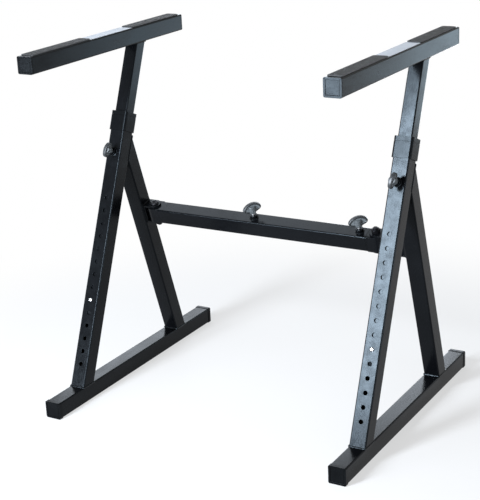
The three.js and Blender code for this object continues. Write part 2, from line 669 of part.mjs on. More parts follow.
function crossbar() {
  const bar = leaningGroup(BAR_Y, BAR_HEIGHT, REAR_LEAN);
  const knobPlaces = [OUTER_TUBE_RIGHT - MIDDLE_KNOB_FROM_END, OUTER_TUBE_RIGHT - END_KNOB_FROM_END];
  bar.add(mesh('crossbar_outer_tube', outerBarTube(knobPlaces), powderCoat));
  bar.add(mesh('crossbar_bush', barBush(), blackPlastic));

  const leftLength = OUTER_TUBE_LEFT - LEFT_PIVOT_X - PLUG_GAP;
  const leftBlock = endBlock(leftLength, TUBE_BORE - 2 * PLUG_GAP, TUBE_CORNER - TUBE_WALL);
  const left = mesh('crossbar_end_block_left', leftBlock, powderCoat);
  left.position.x = LEFT_PIVOT_X;
  bar.add(left);

  const rightLength = RIGHT_PIVOT_X - BLOCK_FACE_RIGHT;
  const rightBlock = endBlock(rightLength, POST_BORE - 2 * PLUG_GAP, POST_CORNER - POST_WALL);
  const right = mesh('crossbar_end_block_right', rightBlock, powderCoat);
  right.position.x = RIGHT_PIVOT_X;
  right.rotation.z = Math.PI;
  bar.add(right);

  const innerRight = BLOCK_FACE_RIGHT - PLUG_GAP;
  const plugLeft = knobPlaces[0] - GLIDE_SHORT_OF_CLAMP - WIDTH_TRAVEL;
  const innerLeft = plugLeft + GLIDE_FLANGE + PLUG_GAP;
  const inner = squareTube(POST, POST_WALL, POST_CORNER, innerLeft, innerRight);
  bar.add(mesh('crossbar_inner_tube', solid(alongX(inner)), powderCoat));
  bar.add(mesh('crossbar_inner_glide', solid(alongX(slidePlug(plugLeft))), blackPlastic));

  const knobs = [['crossbar_clamp_middle', MIDDLE_WING_TURN], ['crossbar_clamp_end', END_WING_TURN]];
  knobs.forEach(([name, turn], index) => {
    const knob = clampKnob(name, turn, BAR_WING_SPAN, BAR_WING_HEIGHT);
    knob.position.set(knobPlaces[index], 0, TUBE / 2);
    bar.add(knob);
  });

  bar.add(foldHinge('left', -1));
  bar.add(foldHinge('right', 1));
  return bar;
}

const stand = new THREE.Group();
stand.add(sideFrame('left', -1, LEFT_WING_TURN));
stand.add(sideFrame('right', 1, RIGHT_WING_TURN));
stand.add(support('left', -1));
stand.add(support('right', 1));
stand.add(crossbar());

export default stand;
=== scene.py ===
import json
import math

import bpy
from mathutils import Matrix, Vector


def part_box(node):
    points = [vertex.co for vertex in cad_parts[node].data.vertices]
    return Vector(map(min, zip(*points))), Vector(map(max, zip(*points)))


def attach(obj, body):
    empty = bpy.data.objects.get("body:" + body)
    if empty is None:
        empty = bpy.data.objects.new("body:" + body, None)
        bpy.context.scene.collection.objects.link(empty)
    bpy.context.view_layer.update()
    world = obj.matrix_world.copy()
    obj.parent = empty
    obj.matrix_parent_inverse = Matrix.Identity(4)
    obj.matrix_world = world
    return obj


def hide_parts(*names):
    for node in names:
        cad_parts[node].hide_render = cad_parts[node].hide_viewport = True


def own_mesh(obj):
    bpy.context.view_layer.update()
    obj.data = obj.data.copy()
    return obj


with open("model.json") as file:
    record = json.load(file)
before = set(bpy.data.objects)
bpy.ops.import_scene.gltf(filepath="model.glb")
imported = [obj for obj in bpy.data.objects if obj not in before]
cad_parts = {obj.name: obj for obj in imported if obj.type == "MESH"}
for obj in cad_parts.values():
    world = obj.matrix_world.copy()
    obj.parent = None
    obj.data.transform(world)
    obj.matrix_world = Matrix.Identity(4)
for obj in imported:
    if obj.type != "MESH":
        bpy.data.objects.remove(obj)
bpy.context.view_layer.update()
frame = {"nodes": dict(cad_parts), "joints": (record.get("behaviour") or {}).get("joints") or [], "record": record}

# A folding keyboard stand in black powder-coated square tube. Metres, +Z up, +X to the right along the
# crossbar, -Y towards the player. Sizes and places come from the frame; what it doesn't hold is named here.

MM = 0.001
FINE = 0.001 * MM
SAME_PLACE = 0.01 * MM
OVERCUT = 1 * MM
SIDES = ("left", "right")
X, Y, Z = range(3)

# Least cosine between an edge and the axis that it runs along, and between a face and where it looks
ALONG = 0.999
FACING = 0.95

# Square tube
TUBE_CORNER = 3.2 * MM
TUBE_WALL = 1.5 * MM
BORE_CORNER = 1.6 * MM
CORNER_STEPS = 5
END_SOFTNESS = 0.4 * MM
ROUND_STEPS = 48
WELD_GAP = 0.3 * MM
FIT_GAP = 0.3 * MM

# The smaller tube that slides in it
SLIDING_TUBE = 32 * MM
POST_CORNER = 2.7 * MM
SCUFFED_BELOW_BUTTON = 20 * MM
SCUFFED_DULLNESS = 0.5

# Holes
HOLE_PITCH = 30 * MM
HOLES_BELOW_BUTTON = 5
HOLES_ABOVE_BUTTON = 8
HOLE_RADIUS = 4.75 * MM
HOLE_LIP = 0.45 * MM
POST_HOLE_RADIUS = 4.55 * MM
SCREW_HOLE_RADIUS = 4.3 * MM

# End caps and collars
FOOT_CAP_DEPTH = 9.5 * MM
ARM_CAP_DEPTH = 4 * MM
CAP_CORNER = 3.4 * MM
CAP_FACE_ROUND = 1.8 * MM
CAP_RIM = 2.6 * MM
CAP_PANEL_DEPTH = 0.5 * MM
COLLAR_HEIGHT = 45 * MM
COLLAR_LIP = 5 * MM
COLLAR_CORNER = 5.5 * MM
COLLAR_ROUND = 0.9 * MM
COLLAR_BAND = 9 * MM
COLLAR_GROOVE = 1.2 * MM
COLLAR_GROOVE_DEPTH = 0.7 * MM
SOCKET_CORNER = 3 * MM
PASSAGE_CORNER = 2.5 * MM

# Pads on the arms, and the plates between them that are painted reflection
PAD_CORNER = 4 * MM
PAD_EDGE = 0.5 * MM
PAD_RIM = 2.0 * MM
PAD_RIBS = 9
RIB_HEIGHT = 0.6 * MM
RIB_ROOT = 0.3 * MM
RIB_SHARE = 0.6
RIB_EDGE = 0.35 * MM
OUTER_RIB_SHORTER = 1.5 * MM
PLATE_GAP = 4 * MM
PLATE_WIDTH = 33 * MM
PLATE_THICKNESS = 0.5 * MM
PLATE_SUNK = 0.05 * MM
PLATE_CORNER = 2 * MM
PLATE_EDGE = 0.15 * MM

# Clamp knobs
WING_THICKNESS = 9 * MM
WING_LOBE = 8 * MM
WING_CROWN_DROP = 1 * MM
WING_FOOT = 1 * MM
WING_ROUND = 2.4 * MM
WING_PANEL_RIM = 1.2 * MM
WING_PANEL_SLOPE = 0.7 * MM
WING_PANEL_DEPTH = 1.4 * MM
WING_VOXEL = 0.45 * MM
WING_TIP_BEVEL = 1.6 * MM
NECK_IN_HUB = 1 * MM
HUB_RADIUS = 8 * MM
HUB_HEIGHT = 17 * MM
HUB_EDGE = 1.2 * MM
HUB_RIBS = 14
HUB_RIB_RADIUS = 0.9 * MM
HUB_RIB_SUNK = 0.2 * MM
HUB_RIB_SPAN = (1.2 * MM, 9 * MM)
HUB_RIB_STEPS = 12
# Painted light on the wings: the hub's share of the lit grey, and which faces of the sunk panels get it
HUB_PAINTED_LIGHT = 0.4
PAINTED_LIGHT_FROM_DEPTH = 0.6
PAINTED_LIGHT_FACING = 0.93
SCREW_IN_HUB = 12 * MM
STUD_EDGE = 0.5 * MM
THREAD_PITCH = 1.25 * MM
THREAD_DEPTH = 0.6 * MM
THREAD_FROM_TIP = 2.5 * MM
THREAD_SHORTER = 4 * MM
THREAD_STEPS = 24
WELD_NUT_EDGE = 0.9 * MM

# Spring buttons
BUTTON_RADIUS = 4.25 * MM
BUTTON_DOME = 2.5 * MM
BUTTON_FLANGE = 1.5 * MM
PIN_IN_FLANGE = 0.5 * MM
BUTTON_EDGE = 0.4 * MM
SPRING_THICKNESS = 1 * MM
BEND_SHARE = 0.49
BEND_STEPS = 12

# Hinges
BRACKET_PLATE = 4 * MM
BRACKET_EDGE = 0.6 * MM
CHEEK_FROM_BOLT = 24 * MM
SHOULDER_FROM_BOLT = 17 * MM
CASTING_EDGE = 0.8 * MM
NOSE_STEPS = 64
BOLT_RADIUS = 5 * MM
BOLT_TIP_EDGE = 0.6 * MM
BOLT_HEAD_HEIGHT = 4 * MM
BOLT_HEAD_ROUND = 2.4 * MM
BOLT_FACE_RIM = 0.35
BOLT_SOCKET_RADIUS = 3.6 * MM
BOLT_SOCKET_DEPTH = 2.4 * MM
NUT_FACES = 6
NUT_HEIGHT = 8 * MM
NUT_CHAMFER = 1.9 * MM
NUT_CHAMFER_SHARE = 0.985
NUT_RING_SHARE = 0.72
NUT_RING_EDGE = 0.8 * MM
NUT_EDGE = 0.25 * MM
NUT_BORE_GAP = 0.2 * MM

# Weld beads
BEAD_RADIUS = 2.3 * MM
BRACKET_BEAD_RADIUS = 1.9 * MM
NUT_BEAD_RADIUS = 1.7 * MM
ARM_BEAD_RADIUS = 2.0 * MM
BEAD_INSET = 0.8 * MM
BEAD_STEP = 0.9 * MM
BEAD_RIPPLE = 0.14
BEAD_RIPPLE_LENGTH = 3.1 * MM
BEAD_WANDER = 0.06
BEAD_WANDER_LENGTH = 7 * MM
RING_STEPS = 64


# ---- Places ----

JOINTS = {joint["name"]: joint for joint in frame["joints"]}


def leaning_place(origin, upward):
    """Axes of a leaning member: X across the stand, Z along upward, Y square to both."""
    up = Vector(upward).normalized()
    across = Vector((1, 0, 0))
    axes = Matrix((across, up.cross(across), up)).transposed()
    return Matrix.Translation(origin) @ axes.to_4x4()


LEG_UP = Vector(JOINTS["left_height"]["axis"])
BAR_UP = Vector(JOINTS["left_fold"]["axis"])
LEG_PLACE = {side: leaning_place(JOINTS[side + "_clamp_turn"]["pos_m"], LEG_UP) for side in SIDES}
HINGE_PLACE = {side: leaning_place(JOINTS[side + "_fold"]["pos_m"], BAR_UP) for side in SIDES}
LEVEL = Matrix.Identity(4)


def extent(node, place=LEVEL):
    """Lowest and highest corner of a CAD node, measured along the axes of a place."""
    to_place = place.inverted()
    points = [to_place @ vertex.co for vertex in frame["nodes"][node].data.vertices]
    low = Vector([min(point[axis] for point in points) for axis in range(3)])
    high = Vector([max(point[axis] for point in points) for axis in range(3)])
    return low, high


def middle_of(node):
    low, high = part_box(node)
    return (low + high) / 2


# ---- Ways of working ----

def pick(piece):
    """Makes a piece the one that the next operator works on."""
    bpy.ops.object.select_all(action="DESELECT")
    piece.select_set(True)
    bpy.context.view_layer.objects.active = piece


def name_new(name):
    """Names the piece that an operator just added, and keeps its place in its mesh."""
    piece = bpy.context.object
    piece.name = piece.data.name = name
    bpy.ops.object.transform_apply(location=True, rotation=True, scale=True)
    return piece


def every(part):
    return True


def select_parts(piece, kind, wanted):
    """Opens a piece for editing with only the wanted vertices, edges or faces selected."""
    pick(piece)
    bpy.context.tool_settings.mesh_select_mode = [kind == name for name in ("VERT", "EDGE", "FACE")]
    bpy.ops.object.mode_set(mode="EDIT")
    bpy.ops.mesh.select_all(action="DESELECT")
    bpy.ops.object.mode_set(mode="OBJECT")
    mesh = piece.data
    for part in {"VERT": mesh.vertices, "EDGE": mesh.edges, "FACE": mesh.polygons}[kind]:
        part.select = wanted(part)
    bpy.ops.object.mode_set(mode="EDIT")


def close_edit():
    bpy.ops.object.mode_set(mode="OBJECT")


def edges_along(piece, axis):
    """Picks a piece's edges that run along one of its axes."""
    vertices = piece.data.vertices

    def wanted(edge):
        start, end = (vertices[index].co for index in edge.vertices)
        return abs((end - start).normalized()[axis]) > ALONG
    return wanted


def faces_towards(direction):
    """Picks faces that look in a direction."""
    direction = Vector(direction).normalized()
    return lambda face: face.normal.dot(direction) > FACING


def round_edges(piece, wanted, radius, steps=CORNER_STEPS):
    select_parts(piece, "EDGE", wanted)
    bpy.ops.mesh.bevel(offset=radius, segments=steps, affect="EDGES")
    close_edit()


def modify(piece, kind, **settings):
    """Adds a modifier to a piece and applies it."""
    pick(piece)
    modifier = piece.modifiers.new(kind, kind)
    for name, value in settings.items():
        setattr(modifier, name, value)
    bpy.ops.object.modifier_apply(modifier=modifier.name)


def soften_edges(piece, width, angle=60, steps=2):
    """Breaks every sharp edge with a small round."""
    modify(piece, "BEVEL", width=width, segments=steps, limit_method="ANGLE", angle_limit=math.radians(angle))


def combine(piece, other, operation):
    """Joins or cuts a piece with another, which is used up."""
    modify(piece, "BOOLEAN", object=other, operation=operation, solver="EXACT")
    bpy.data.objects.remove(other)
    return piece


def cut(piece, other):
    return combine(piece, other, "DIFFERENCE")


def join_pieces(name, pieces):
    """Makes several separate shells one object."""
    bpy.ops.object.select_all(action="DESELECT")
    for piece in pieces:
        piece.select_set(True)
    bpy.context.view_layer.objects.active = pieces[0]
    if len(pieces) > 1:
        bpy.ops.object.join()
    joined = bpy.context.object
    joined.name = joined.data.name = name
    return joined


def put(piece, place):
    """Moves a piece to its place and keeps the place in its mesh."""
    pick(piece)
    piece.matrix_world = place @ piece.matrix_world
    bpy.ops.object.transform_apply(location=True, rotation=True, scale=True)
    return piece


def finish_piece(piece, body, material, *nodes, smooth=35):
    """Shades a placed piece, gives it its finish and body, and hides the CAD nodes that it stands for."""
    pick(piece)
    bpy.ops.object.shade_smooth_by_angle(angle=math.radians(smooth))
    modify(piece, "WEIGHTED_NORMAL", keep_sharp=True)
    piece.data.materials.clear()
    piece.data.materials.append(material)
    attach(piece, body)
    if nodes:
        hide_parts(*nodes)
    return piece


def block(name, low, high):
    """A plain block between two corners."""
    bpy.ops.object.select_all(action="DESELECT")
    bpy.ops.mesh.primitive_cube_add(size=1, location=(Vector(low) + Vector(high)) / 2)
    bpy.context.object.scale = Vector(high) - Vector(low)
    return name_new(name)


def rod(name, radius, bottom, top, centre=(0, 0), steps=ROUND_STEPS):
    """A round bar along Z between two heights."""
    bpy.ops.object.select_all(action="DESELECT")
    place = (centre[0], centre[1], (bottom + top) / 2)
    bpy.ops.mesh.primitive_cylinder_add(vertices=steps, radius=radius, depth=top - bottom, location=place)
    return name_new(name)


def square_bar(name, low, high, axis, corner, steps=CORNER_STEPS):
    """A solid bar along an axis with rounded long edges."""
    piece = block(name, low, high)
    round_edges(piece, edges_along(piece, axis), corner, steps)
    return piece


def bore(piece, low, high, axis, wall, from_end=None, to_end=None):
    """Hollows a square bar along its axis, through both ends unless one is given."""
    inset = Vector((wall, wall, wall))
    inset[axis] = -wall
    start, end = Vector(low) + inset, Vector(high) - inset
    start[axis] = start[axis] if from_end is None else from_end
    end[axis] = end[axis] if to_end is None else to_end
    return cut(piece, square_bar("bore", start, end, axis, BORE_CORNER))


def drill(piece, name, radius, bottom, top, steps=ROUND_STEPS):
    """Cuts a round hole along Z that runs past two heights."""
    return cut(piece, rod(name, radius, bottom - OVERCUT, top + OVERCUT, steps=steps))


def trim(piece, point, normal):
    """Cuts off what lies beyond a plane and closes the cut."""
    select_parts(piece, "FACE", every)
    plane = Vector(normal).normalized()
    bpy.ops.mesh.bisect(plane_co=point, plane_no=plane, use_fill=True, clear_outer=True, threshold=FINE)
    close_edit()


def score(piece, *heights):
    """Adds edges all round a piece at heights, and takes nothing off."""
    select_parts(piece, "FACE", every)
    for height in heights:
        bpy.ops.mesh.bisect(plane_co=(0, 0, height), plane_no=(0, 0, 1), threshold=FINE)
        bpy.ops.mesh.select_all(action="SELECT")
    close_edit()


def edge_at(piece, axis, value):
    """Picks a piece's edges that lie at one value along one of its axes."""
    vertices = piece.data.vertices
    return lambda edge: all(abs(vertices[index].co[axis] - value) < SAME_PLACE for index in edge.vertices)


# ---- Finishes ----

def set_inputs(node, **values):
    """Sets a node's inputs by their names, with _ for a space."""
    for name, value in values.items():
        node.inputs[name.replace("_", " ")].default_value = value


def reckon(tree, operation, first, second):
    """One maths step between two values in a node tree."""
    node = tree.nodes.new("ShaderNodeMath")
    node.operation = operation
    tree.links.new(first, node.inputs[0])
    tree.links.new(second, node.inputs[1])
    return node.outputs["Value"]


SHEEN_TINT = (0.78, 0.91, 1.0, 1)


class Recipe:
    """Builds one finish's nodes on the piece's own coordinates."""

    def __init__(self, name, slot):
        self.material = bpy.data.materials.new(name)
        self.material["slot"] = slot
        self.material.use_nodes = True
        self.tree = self.material.node_tree
        self.shader = self.tree.nodes["Principled BSDF"]
        self.coordinates = self.tree.nodes.new("ShaderNodeTexCoord").outputs["Object"]

    def link(self, source, target):
        self.tree.links.new(source, target)

    def noise(self, scale, detail=4, stretch=(1, 1, 1), roughness=0.55):
        mapping = self.tree.nodes.new("ShaderNodeMapping")
        set_inputs(mapping, Scale=stretch)
        self.link(self.coordinates, mapping.inputs["Vector"])
        node = self.tree.nodes.new("ShaderNodeTexNoise")
        set_inputs(node, Scale=scale, Detail=detail, Roughness=roughness)
        self.link(mapping.outputs["Vector"], node.inputs["Vector"])
        return node.outputs["Fac"]

    def cells(self, scale):
        node = self.tree.nodes.new("ShaderNodeTexVoronoi")
        set_inputs(node, Scale=scale)
        self.link(self.coordinates, node.inputs["Vector"])
        return node.outputs["Distance"]

    def mark(self, name):
        """A value that is kept with a piece's vertices."""
        node = self.tree.nodes.new("ShaderNodeAttribute")
        node.attribute_name = name
        return node.outputs["Fac"]

    def ramp(self, source, *stops):
        """Colours along a source value: each stop is its place and its colour."""
        node = self.tree.nodes.new("ShaderNodeValToRGB")
        elements = node.color_ramp.elements
        while len(elements) < len(stops):
            elements.new(0.5)
        for element, (position, colour) in zip(elements, stops):
            element.position = position
            element.color = (*colour, 1)
        self.link(source, node.inputs["Fac"])
        return node.outputs["Color"]

    def spread(self, source, low, high, from_low=0.3, from_high=0.7):
        node = self.tree.nodes.new("ShaderNodeMapRange")
        set_inputs(node, From_Min=from_low, From_Max=from_high, To_Min=low, To_Max=high)
        self.link(source, node.inputs["Value"])
        return node.outputs["Result"]

    def mix(self, factor, first, second):
        node = self.tree.nodes.new("ShaderNodeMix")
        node.data_type = "RGBA"
        self.link(factor, node.inputs["Factor"])
        for socket, value in ((node.inputs[6], first), (node.inputs[7], second)):
            if isinstance(value, tuple):
                socket.default_value = (*value, 1)
            else:
                self.link(value, socket)
        return node.outputs[2]

    def sum(self, first, *others):
        for other in others:
            first = reckon(self.tree, "ADD", first, other)
        return first

    def bump(self, source, strength, distance, under=None):
        node = self.tree.nodes.new("ShaderNodeBump")
        set_inputs(node, Strength=strength, Distance=distance)
        self.link(source, node.inputs["Height"])
        if under:
            self.link(under, node.inputs["Normal"])
        return node.outputs["Normal"]

    def set(self, **values):
        for name, value in values.items():
            socket = self.shader.inputs[name.replace("_", " ")]
            if isinstance(value, bpy.types.NodeSocket):
                self.link(value, socket)
            else:
                socket.default_value = value
        return self.material


def powder_coat():
    """Semi-gloss black with the fine orange peel, dust and handling marks of a sprayed and baked coat."""
    recipe = Recipe("powder_coat", "powder_coat")
    tone = recipe.ramp(
        recipe.noise(9, 6), (0.35, (0.0012, 0.0013, 0.0016)), (0.7, (0.0023, 0.0025, 0.0030)))
    dust = recipe.spread(recipe.noise(420, 2), 0, 0.6, 0.66, 0.78)
    colour = recipe.mix(dust, tone, (0.010, 0.011, 0.012))
    rub = recipe.spread(recipe.noise(55, 8, (1, 0.18, 1)), -0.05, 0.07)
    shine = recipe.spread(recipe.noise(14, 5), 0.18, 0.23)
    dull = recipe.spread(recipe.mark("scuffs"), 0, SCUFFED_DULLNESS, 0, 1)
    roughness = recipe.sum(shine, rub, dull)
    peel = recipe.bump(recipe.noise(620, 2), 0.16, 0.25 * MM)
    grain = recipe.bump(recipe.cells(2600), 0.05, 0.1 * MM, peel)
    return recipe.set(
        Base_Color=colour, Roughness=roughness, Normal=grain,
        Specular_IOR_Level=0.08, Specular_Tint=SHEEN_TINT)


def cap_plastic():
    """Injection-moulded black plastic with a fine spark-eroded grain."""
    recipe = Recipe("cap_plastic", "cap_plastic")
    colour = recipe.ramp(
        recipe.noise(26, 5), (0.3, (0.0013, 0.0014, 0.0016)), (0.75, (0.0025, 0.0027, 0.0030)))
    shine = recipe.spread(recipe.noise(60, 4), 0.18, 0.25)
    grain = recipe.bump(recipe.cells(1500), 0.12, 0.12 * MM)
    return recipe.set(
        Base_Color=colour, Roughness=shine, Normal=grain, Specular_IOR_Level=0.06, Specular_Tint=SHEEN_TINT)


def knob_plastic():
    """Glass-filled black plastic with coarse sunk panels. Painted light: the panels, and less the hub, are painted
    grey as if lit, and the rim stays dark.
    """
    recipe = Recipe("knob_plastic", "knob_plastic")
    tone = recipe.ramp(recipe.noise(70, 5), (0.3, (0.009, 0.010, 0.011)), (0.72, (0.017, 0.019, 0.020)))
    painted_lit_grey = recipe.ramp(recipe.noise(260, 5), (0.3, (0.065, 0.073, 0.076)), (0.75, (0.12, 0.13, 0.135)))
    # Painted light: the marked panels and hub take a lit grey in place of the black
    colour = recipe.mix(recipe.mark("dust_and_painted_light"), tone, painted_lit_grey)
    shine = recipe.spread(recipe.noise(120, 4), 0.32, 0.44)
    grain = recipe.bump(recipe.noise(1500, 3), 0.2, 0.15 * MM)
    return recipe.set(Base_Color=colour, Roughness=shine, Normal=grain, Specular_IOR_Level=0.3)


def pad_rubber():
    """Matt black rubber with a bloom of dust in its ribs."""
    recipe = Recipe("pad_rubber", "pad_rubber")
    tone = recipe.ramp(recipe.noise(40, 6), (0.3, (0.008, 0.008, 0.0085)), (0.75, (0.017, 0.0175, 0.018)))
    # Dust at random over the rubber
    dust_and_painted_light = recipe.spread(recipe.noise(260, 5), 0, 0.5, 0.5, 0.75)
    colour = recipe.mix(dust_and_painted_light, tone, (0.03, 0.03, 0.031))
    shine = recipe.spread(recipe.noise(90, 4), 0.55, 0.72)
    grain = recipe.bump(recipe.noise(1100, 4), 0.35, 0.2 * MM)
    return recipe.set(Base_Color=colour, Roughness=shine, Normal=grain, Specular_IOR_Level=0.35)


def painted_reflection_plate():
    """Painted reflection: the pale bluish plate on each arm stands for the white surroundings mirrored in the
    arm's top, faintly mottled.
    """
    recipe = Recipe("painted_reflection_plate", "cap_plastic")
    colour = recipe.ramp(recipe.noise(34, 5), (0.25, (0.49, 0.505, 0.53)), (0.8, (0.55, 0.565, 0.59)))
    shine = recipe.spread(recipe.noise(80, 3), 0.6, 0.7)
    grain = recipe.bump(recipe.noise(900, 2), 0.06, 0.1 * MM)
    return recipe.set(Base_Color=colour, Roughness=shine, Normal=grain, Specular_IOR_Level=0.06)


def zinc_steel():
    """Bright zinc plate with a passivated mottle."""
    recipe = Recipe("zinc_steel", "zinc_steel")
    colour = recipe.ramp(
        recipe.noise(240, 6),
        (0.3, (0.52, 0.53, 0.55)), (0.55, (0.66, 0.67, 0.68)), (0.75, (0.74, 0.74, 0.72)))
    shine = recipe.spread(recipe.noise(500, 5), 0.24, 0.42)
    grain = recipe.bump(recipe.noise(1800, 3), 0.12, 0.08 * MM)
    return recipe.set(Base_Color=colour, Metallic=1.0, Roughness=shine, Normal=grain)


def black_zinc():
    """Black zinc plate: dark metal with a brown-blue bloom."""
    recipe = Recipe("black_zinc", "black_zinc")
    colour = recipe.ramp(
        recipe.noise(180, 6),
        (0.3, (0.008, 0.009, 0.011)), (0.55, (0.015, 0.015, 0.017)), (0.75, (0.024, 0.022, 0.021)))
    shine = recipe.spread(recipe.noise(420, 5), 0.40, 0.55)
    grain = recipe.bump(recipe.noise(1800, 3), 0.12, 0.08 * MM)
    return recipe.set(Base_Color=colour, Metallic=1.0, Roughness=shine, Normal=grain)


def spring_steel():
    """Oiled strip steel with rolling marks along it."""
    recipe = Recipe("spring_steel", "spring_steel")
    colour = recipe.ramp(
        recipe.noise(130, 6, (1, 6, 1)), (0.3, (0.22, 0.23, 0.25)), (0.75, (0.42, 0.42, 0.43)))
    shine = recipe.spread(recipe.noise(420, 4, (1, 8, 1)), 0.28, 0.45)
    return recipe.set(Base_Color=colour, Metallic=1.0, Roughness=shine)


COAT = powder_coat()
CAP = cap_plastic()
KNOB = knob_plastic()
RUBBER = pad_rubber()
PAINTED_REFLECTION = painted_reflection_plate()
ZINC = zinc_steel()
BLACK_ZINC = black_zinc()
SPRING = spring_steel()
SLOT_FINISHES = (COAT, CAP, KNOB, RUBBER, ZINC, BLACK_ZINC, SPRING)
FINISHES = {material["slot"]: material for material in SLOT_FINISHES}


def dress_cad_nodes():
    """Gives every CAD node the finish of its slot, also those that a finer piece stands for."""
    for part in frame["record"]["subparts"]:
        mesh = frame["nodes"][part["node"]].data
        mesh.materials.clear()
        mesh.materials.append(FINISHES[part["material_slot"]])


# ---- Tubes ----

def plain_tube(node, body, axis, place=LEVEL):
    """An open square tube: a foot, an arm or a crossbar tube."""
    low, high = extent(node, place)
    piece = square_bar(node + "_tube", low, high, axis, TUBE_CORNER)
    bore(piece, low, high, axis, TUBE_WALL)
    soften_edges(piece, END_SOFTNESS)
    put(piece, place)
    return finish_piece(piece, body, COAT, node)


def hole_cutters(heights, front, radius):
    """Round cutters through the front wall of an upright tube."""
    cutters = []
    for height in heights:
        cutter = rod("hole", radius, -2 * TUBE_WALL, 2 * TUBE_WALL)
        place = Matrix.Translation((0, front, height)) @ Matrix.Rotation(math.pi / 2, 4, "X")
        cutters.append(put(cutter, place))
    return join_pieces("holes", cutters)


def round_hole_lips(piece, front):
    """Softens the rims of the holes in the front face, and clears the needle faces that this leaves."""
    vertices = piece.data.vertices
    longest = 3 * MM
    on_face = edge_at(piece, Y, front)

    def on_rim(edge):
        start, end = (vertices[index].co for index in edge.vertices)
        near_middle = max(abs(start.x), abs(end.x)) < 0.3 * TUBE
        return on_face(edge) and near_middle and (end - start).length < longest
    round_edges(piece, on_rim, HOLE_LIP, steps=3)
    select_parts(piece, "VERT", every)
    bpy.ops.mesh.remove_doubles(threshold=SAME_PLACE)
    close_edit()


ARM_LOW, ARM_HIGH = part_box("left_arm_tube")
TUBE = ARM_HIGH.z - ARM_LOW.z
FOOT_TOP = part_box("left_foot_tube")[1].z


def height_holes(side):
    """Heights of a front leg's holes in its own place: the spring button's, and those above and below it."""
    button = (LEG_PLACE[side].inverted() @ middle_of(side + "_snap_button")).z
    return [button + step * HOLE_PITCH for step in range(-HOLES_BELOW_BUTTON, HOLES_ABOVE_BUTTON + 1)]


def front_leg(side):
    """The long leg: height holes and the clamp screw's hole in its front wall, its foot end cut level."""
    node = side + "_front_leg"
    place = LEG_PLACE[side]
    low, high = extent(node, place)
    piece = square_bar(node + "_tube", low - Vector((0, 0, TUBE)), high, Z, TUBE_CORNER)
    bore(piece, low, high, Z, TUBE_WALL, from_end=low.z + TUBE)
    cut(piece, hole_cutters(height_holes(side), low.y, HOLE_RADIUS))
    cut(piece, hole_cutters([0], low.y, SCREW_HOLE_RADIUS))
    round_hole_lips(piece, low.y)
    put(piece, place)
    trim(piece, (0, 0, FOOT_TOP + WELD_GAP), (0, 0, -1))
    return finish_piece(piece, side + "_frame", COAT, node)


def rear_leg(side):
    """The short leg, cut level on the foot and against the back of the front leg."""
    node = side + "_rear_leg"
    place = HINGE_PLACE[side]
    low, high = extent(node, place)
    slack = Vector((0, 0, TUBE))
    piece = square_bar(node + "_tube", low - slack, high + slack, Z, TUBE_CORNER)
    put(piece, place)
    trim(piece, (0, 0, FOOT_TOP + WELD_GAP), (0, 0, -1))
    behind = LEG_PLACE[side].col[Y].to_3d()
    trim(piece, LEG_PLACE[side].translation + behind * (TUBE / 2 + WELD_GAP), -behind)
    return finish_piece(piece, side + "_frame", COAT, node)


def post(side):
    """The inner tube that carries an arm, its top cut level under it."""
    node = side + "_post"
    place = LEG_PLACE[side]
    low, high = extent(node, place)
    piece = square_bar(node + "_tube", low, high + Vector((0, 0, TUBE)), Z, POST_CORNER)
    bore(piece, low, high, Z, TUBE_WALL, to_end=high.z - TUBE)
    button = height_holes(side)[HOLES_BELOW_BUTTON]
    cut(piece, hole_cutters([button], low.y, POST_HOLE_RADIUS))
    scuff_foot(piece, button - SCUFFED_BELOW_BUTTON)
    put(piece, place)
    trim(piece, (0, 0, ARM_LOW.z - WELD_GAP), (0, 0, 1))
    return finish_piece(piece, side + "_support", COAT, node)


def scuff_foot(tube, top):
    """Marks the foot of a post up to a height: it rubs in the leg, and its coat is dull there."""
    score(tube, top, top + MM)
    marks = tube.data.attributes.new("scuffs", "FLOAT", "POINT")
    for vertex, mark in zip(tube.data.vertices, marks.data):
        mark.value = 1.0 if vertex.co.z < top + FINE else 0.0


# ---- Plastic fittings ----

def end_cap(node, body, outward):
    """A moulded plug with a rounded head and a shallow panel in its face."""
    low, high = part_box(node)
    head_depth = FOOT_CAP_DEPTH if "foot" in node else ARM_CAP_DEPTH
    outer, inner = (low.y, low.y + head_depth) if outward < 0 else (high.y, high.y - head_depth)
    head = block(node + "_moulding", (low.x, min(outer, inner), low.z), (high.x, max(outer, inner), high.z))
    round_edges(head, edges_along(head, Y), CAP_CORNER)
    select_parts(head, "FACE", faces_towards((0, outward, 0)))
    bpy.ops.mesh.inset(thickness=CAP_FACE_ROUND + CAP_RIM)
    bpy.ops.mesh.inset(thickness=CAP_PANEL_DEPTH, depth=-CAP_PANEL_DEPTH)
    close_edit()
    soften_edges(head, CAP_FACE_ROUND, angle=70, steps=4)
    reach = TUBE / 2 - TUBE_WALL - FIT_GAP
    middle = (low + high) / 2
    start, end = sorted((inner, high.y if outward < 0 else low.y))
    plug_low = (middle.x - reach, start, middle.z - reach)
    plug_high = (middle.x + reach, end, middle.z + reach)
    plug = square_bar("plug", plug_low, plug_high, Y, BORE_CORNER)
    piece = join_pieces(node + "_moulding", [head, plug])
    return finish_piece(piece, body, CAP, node)


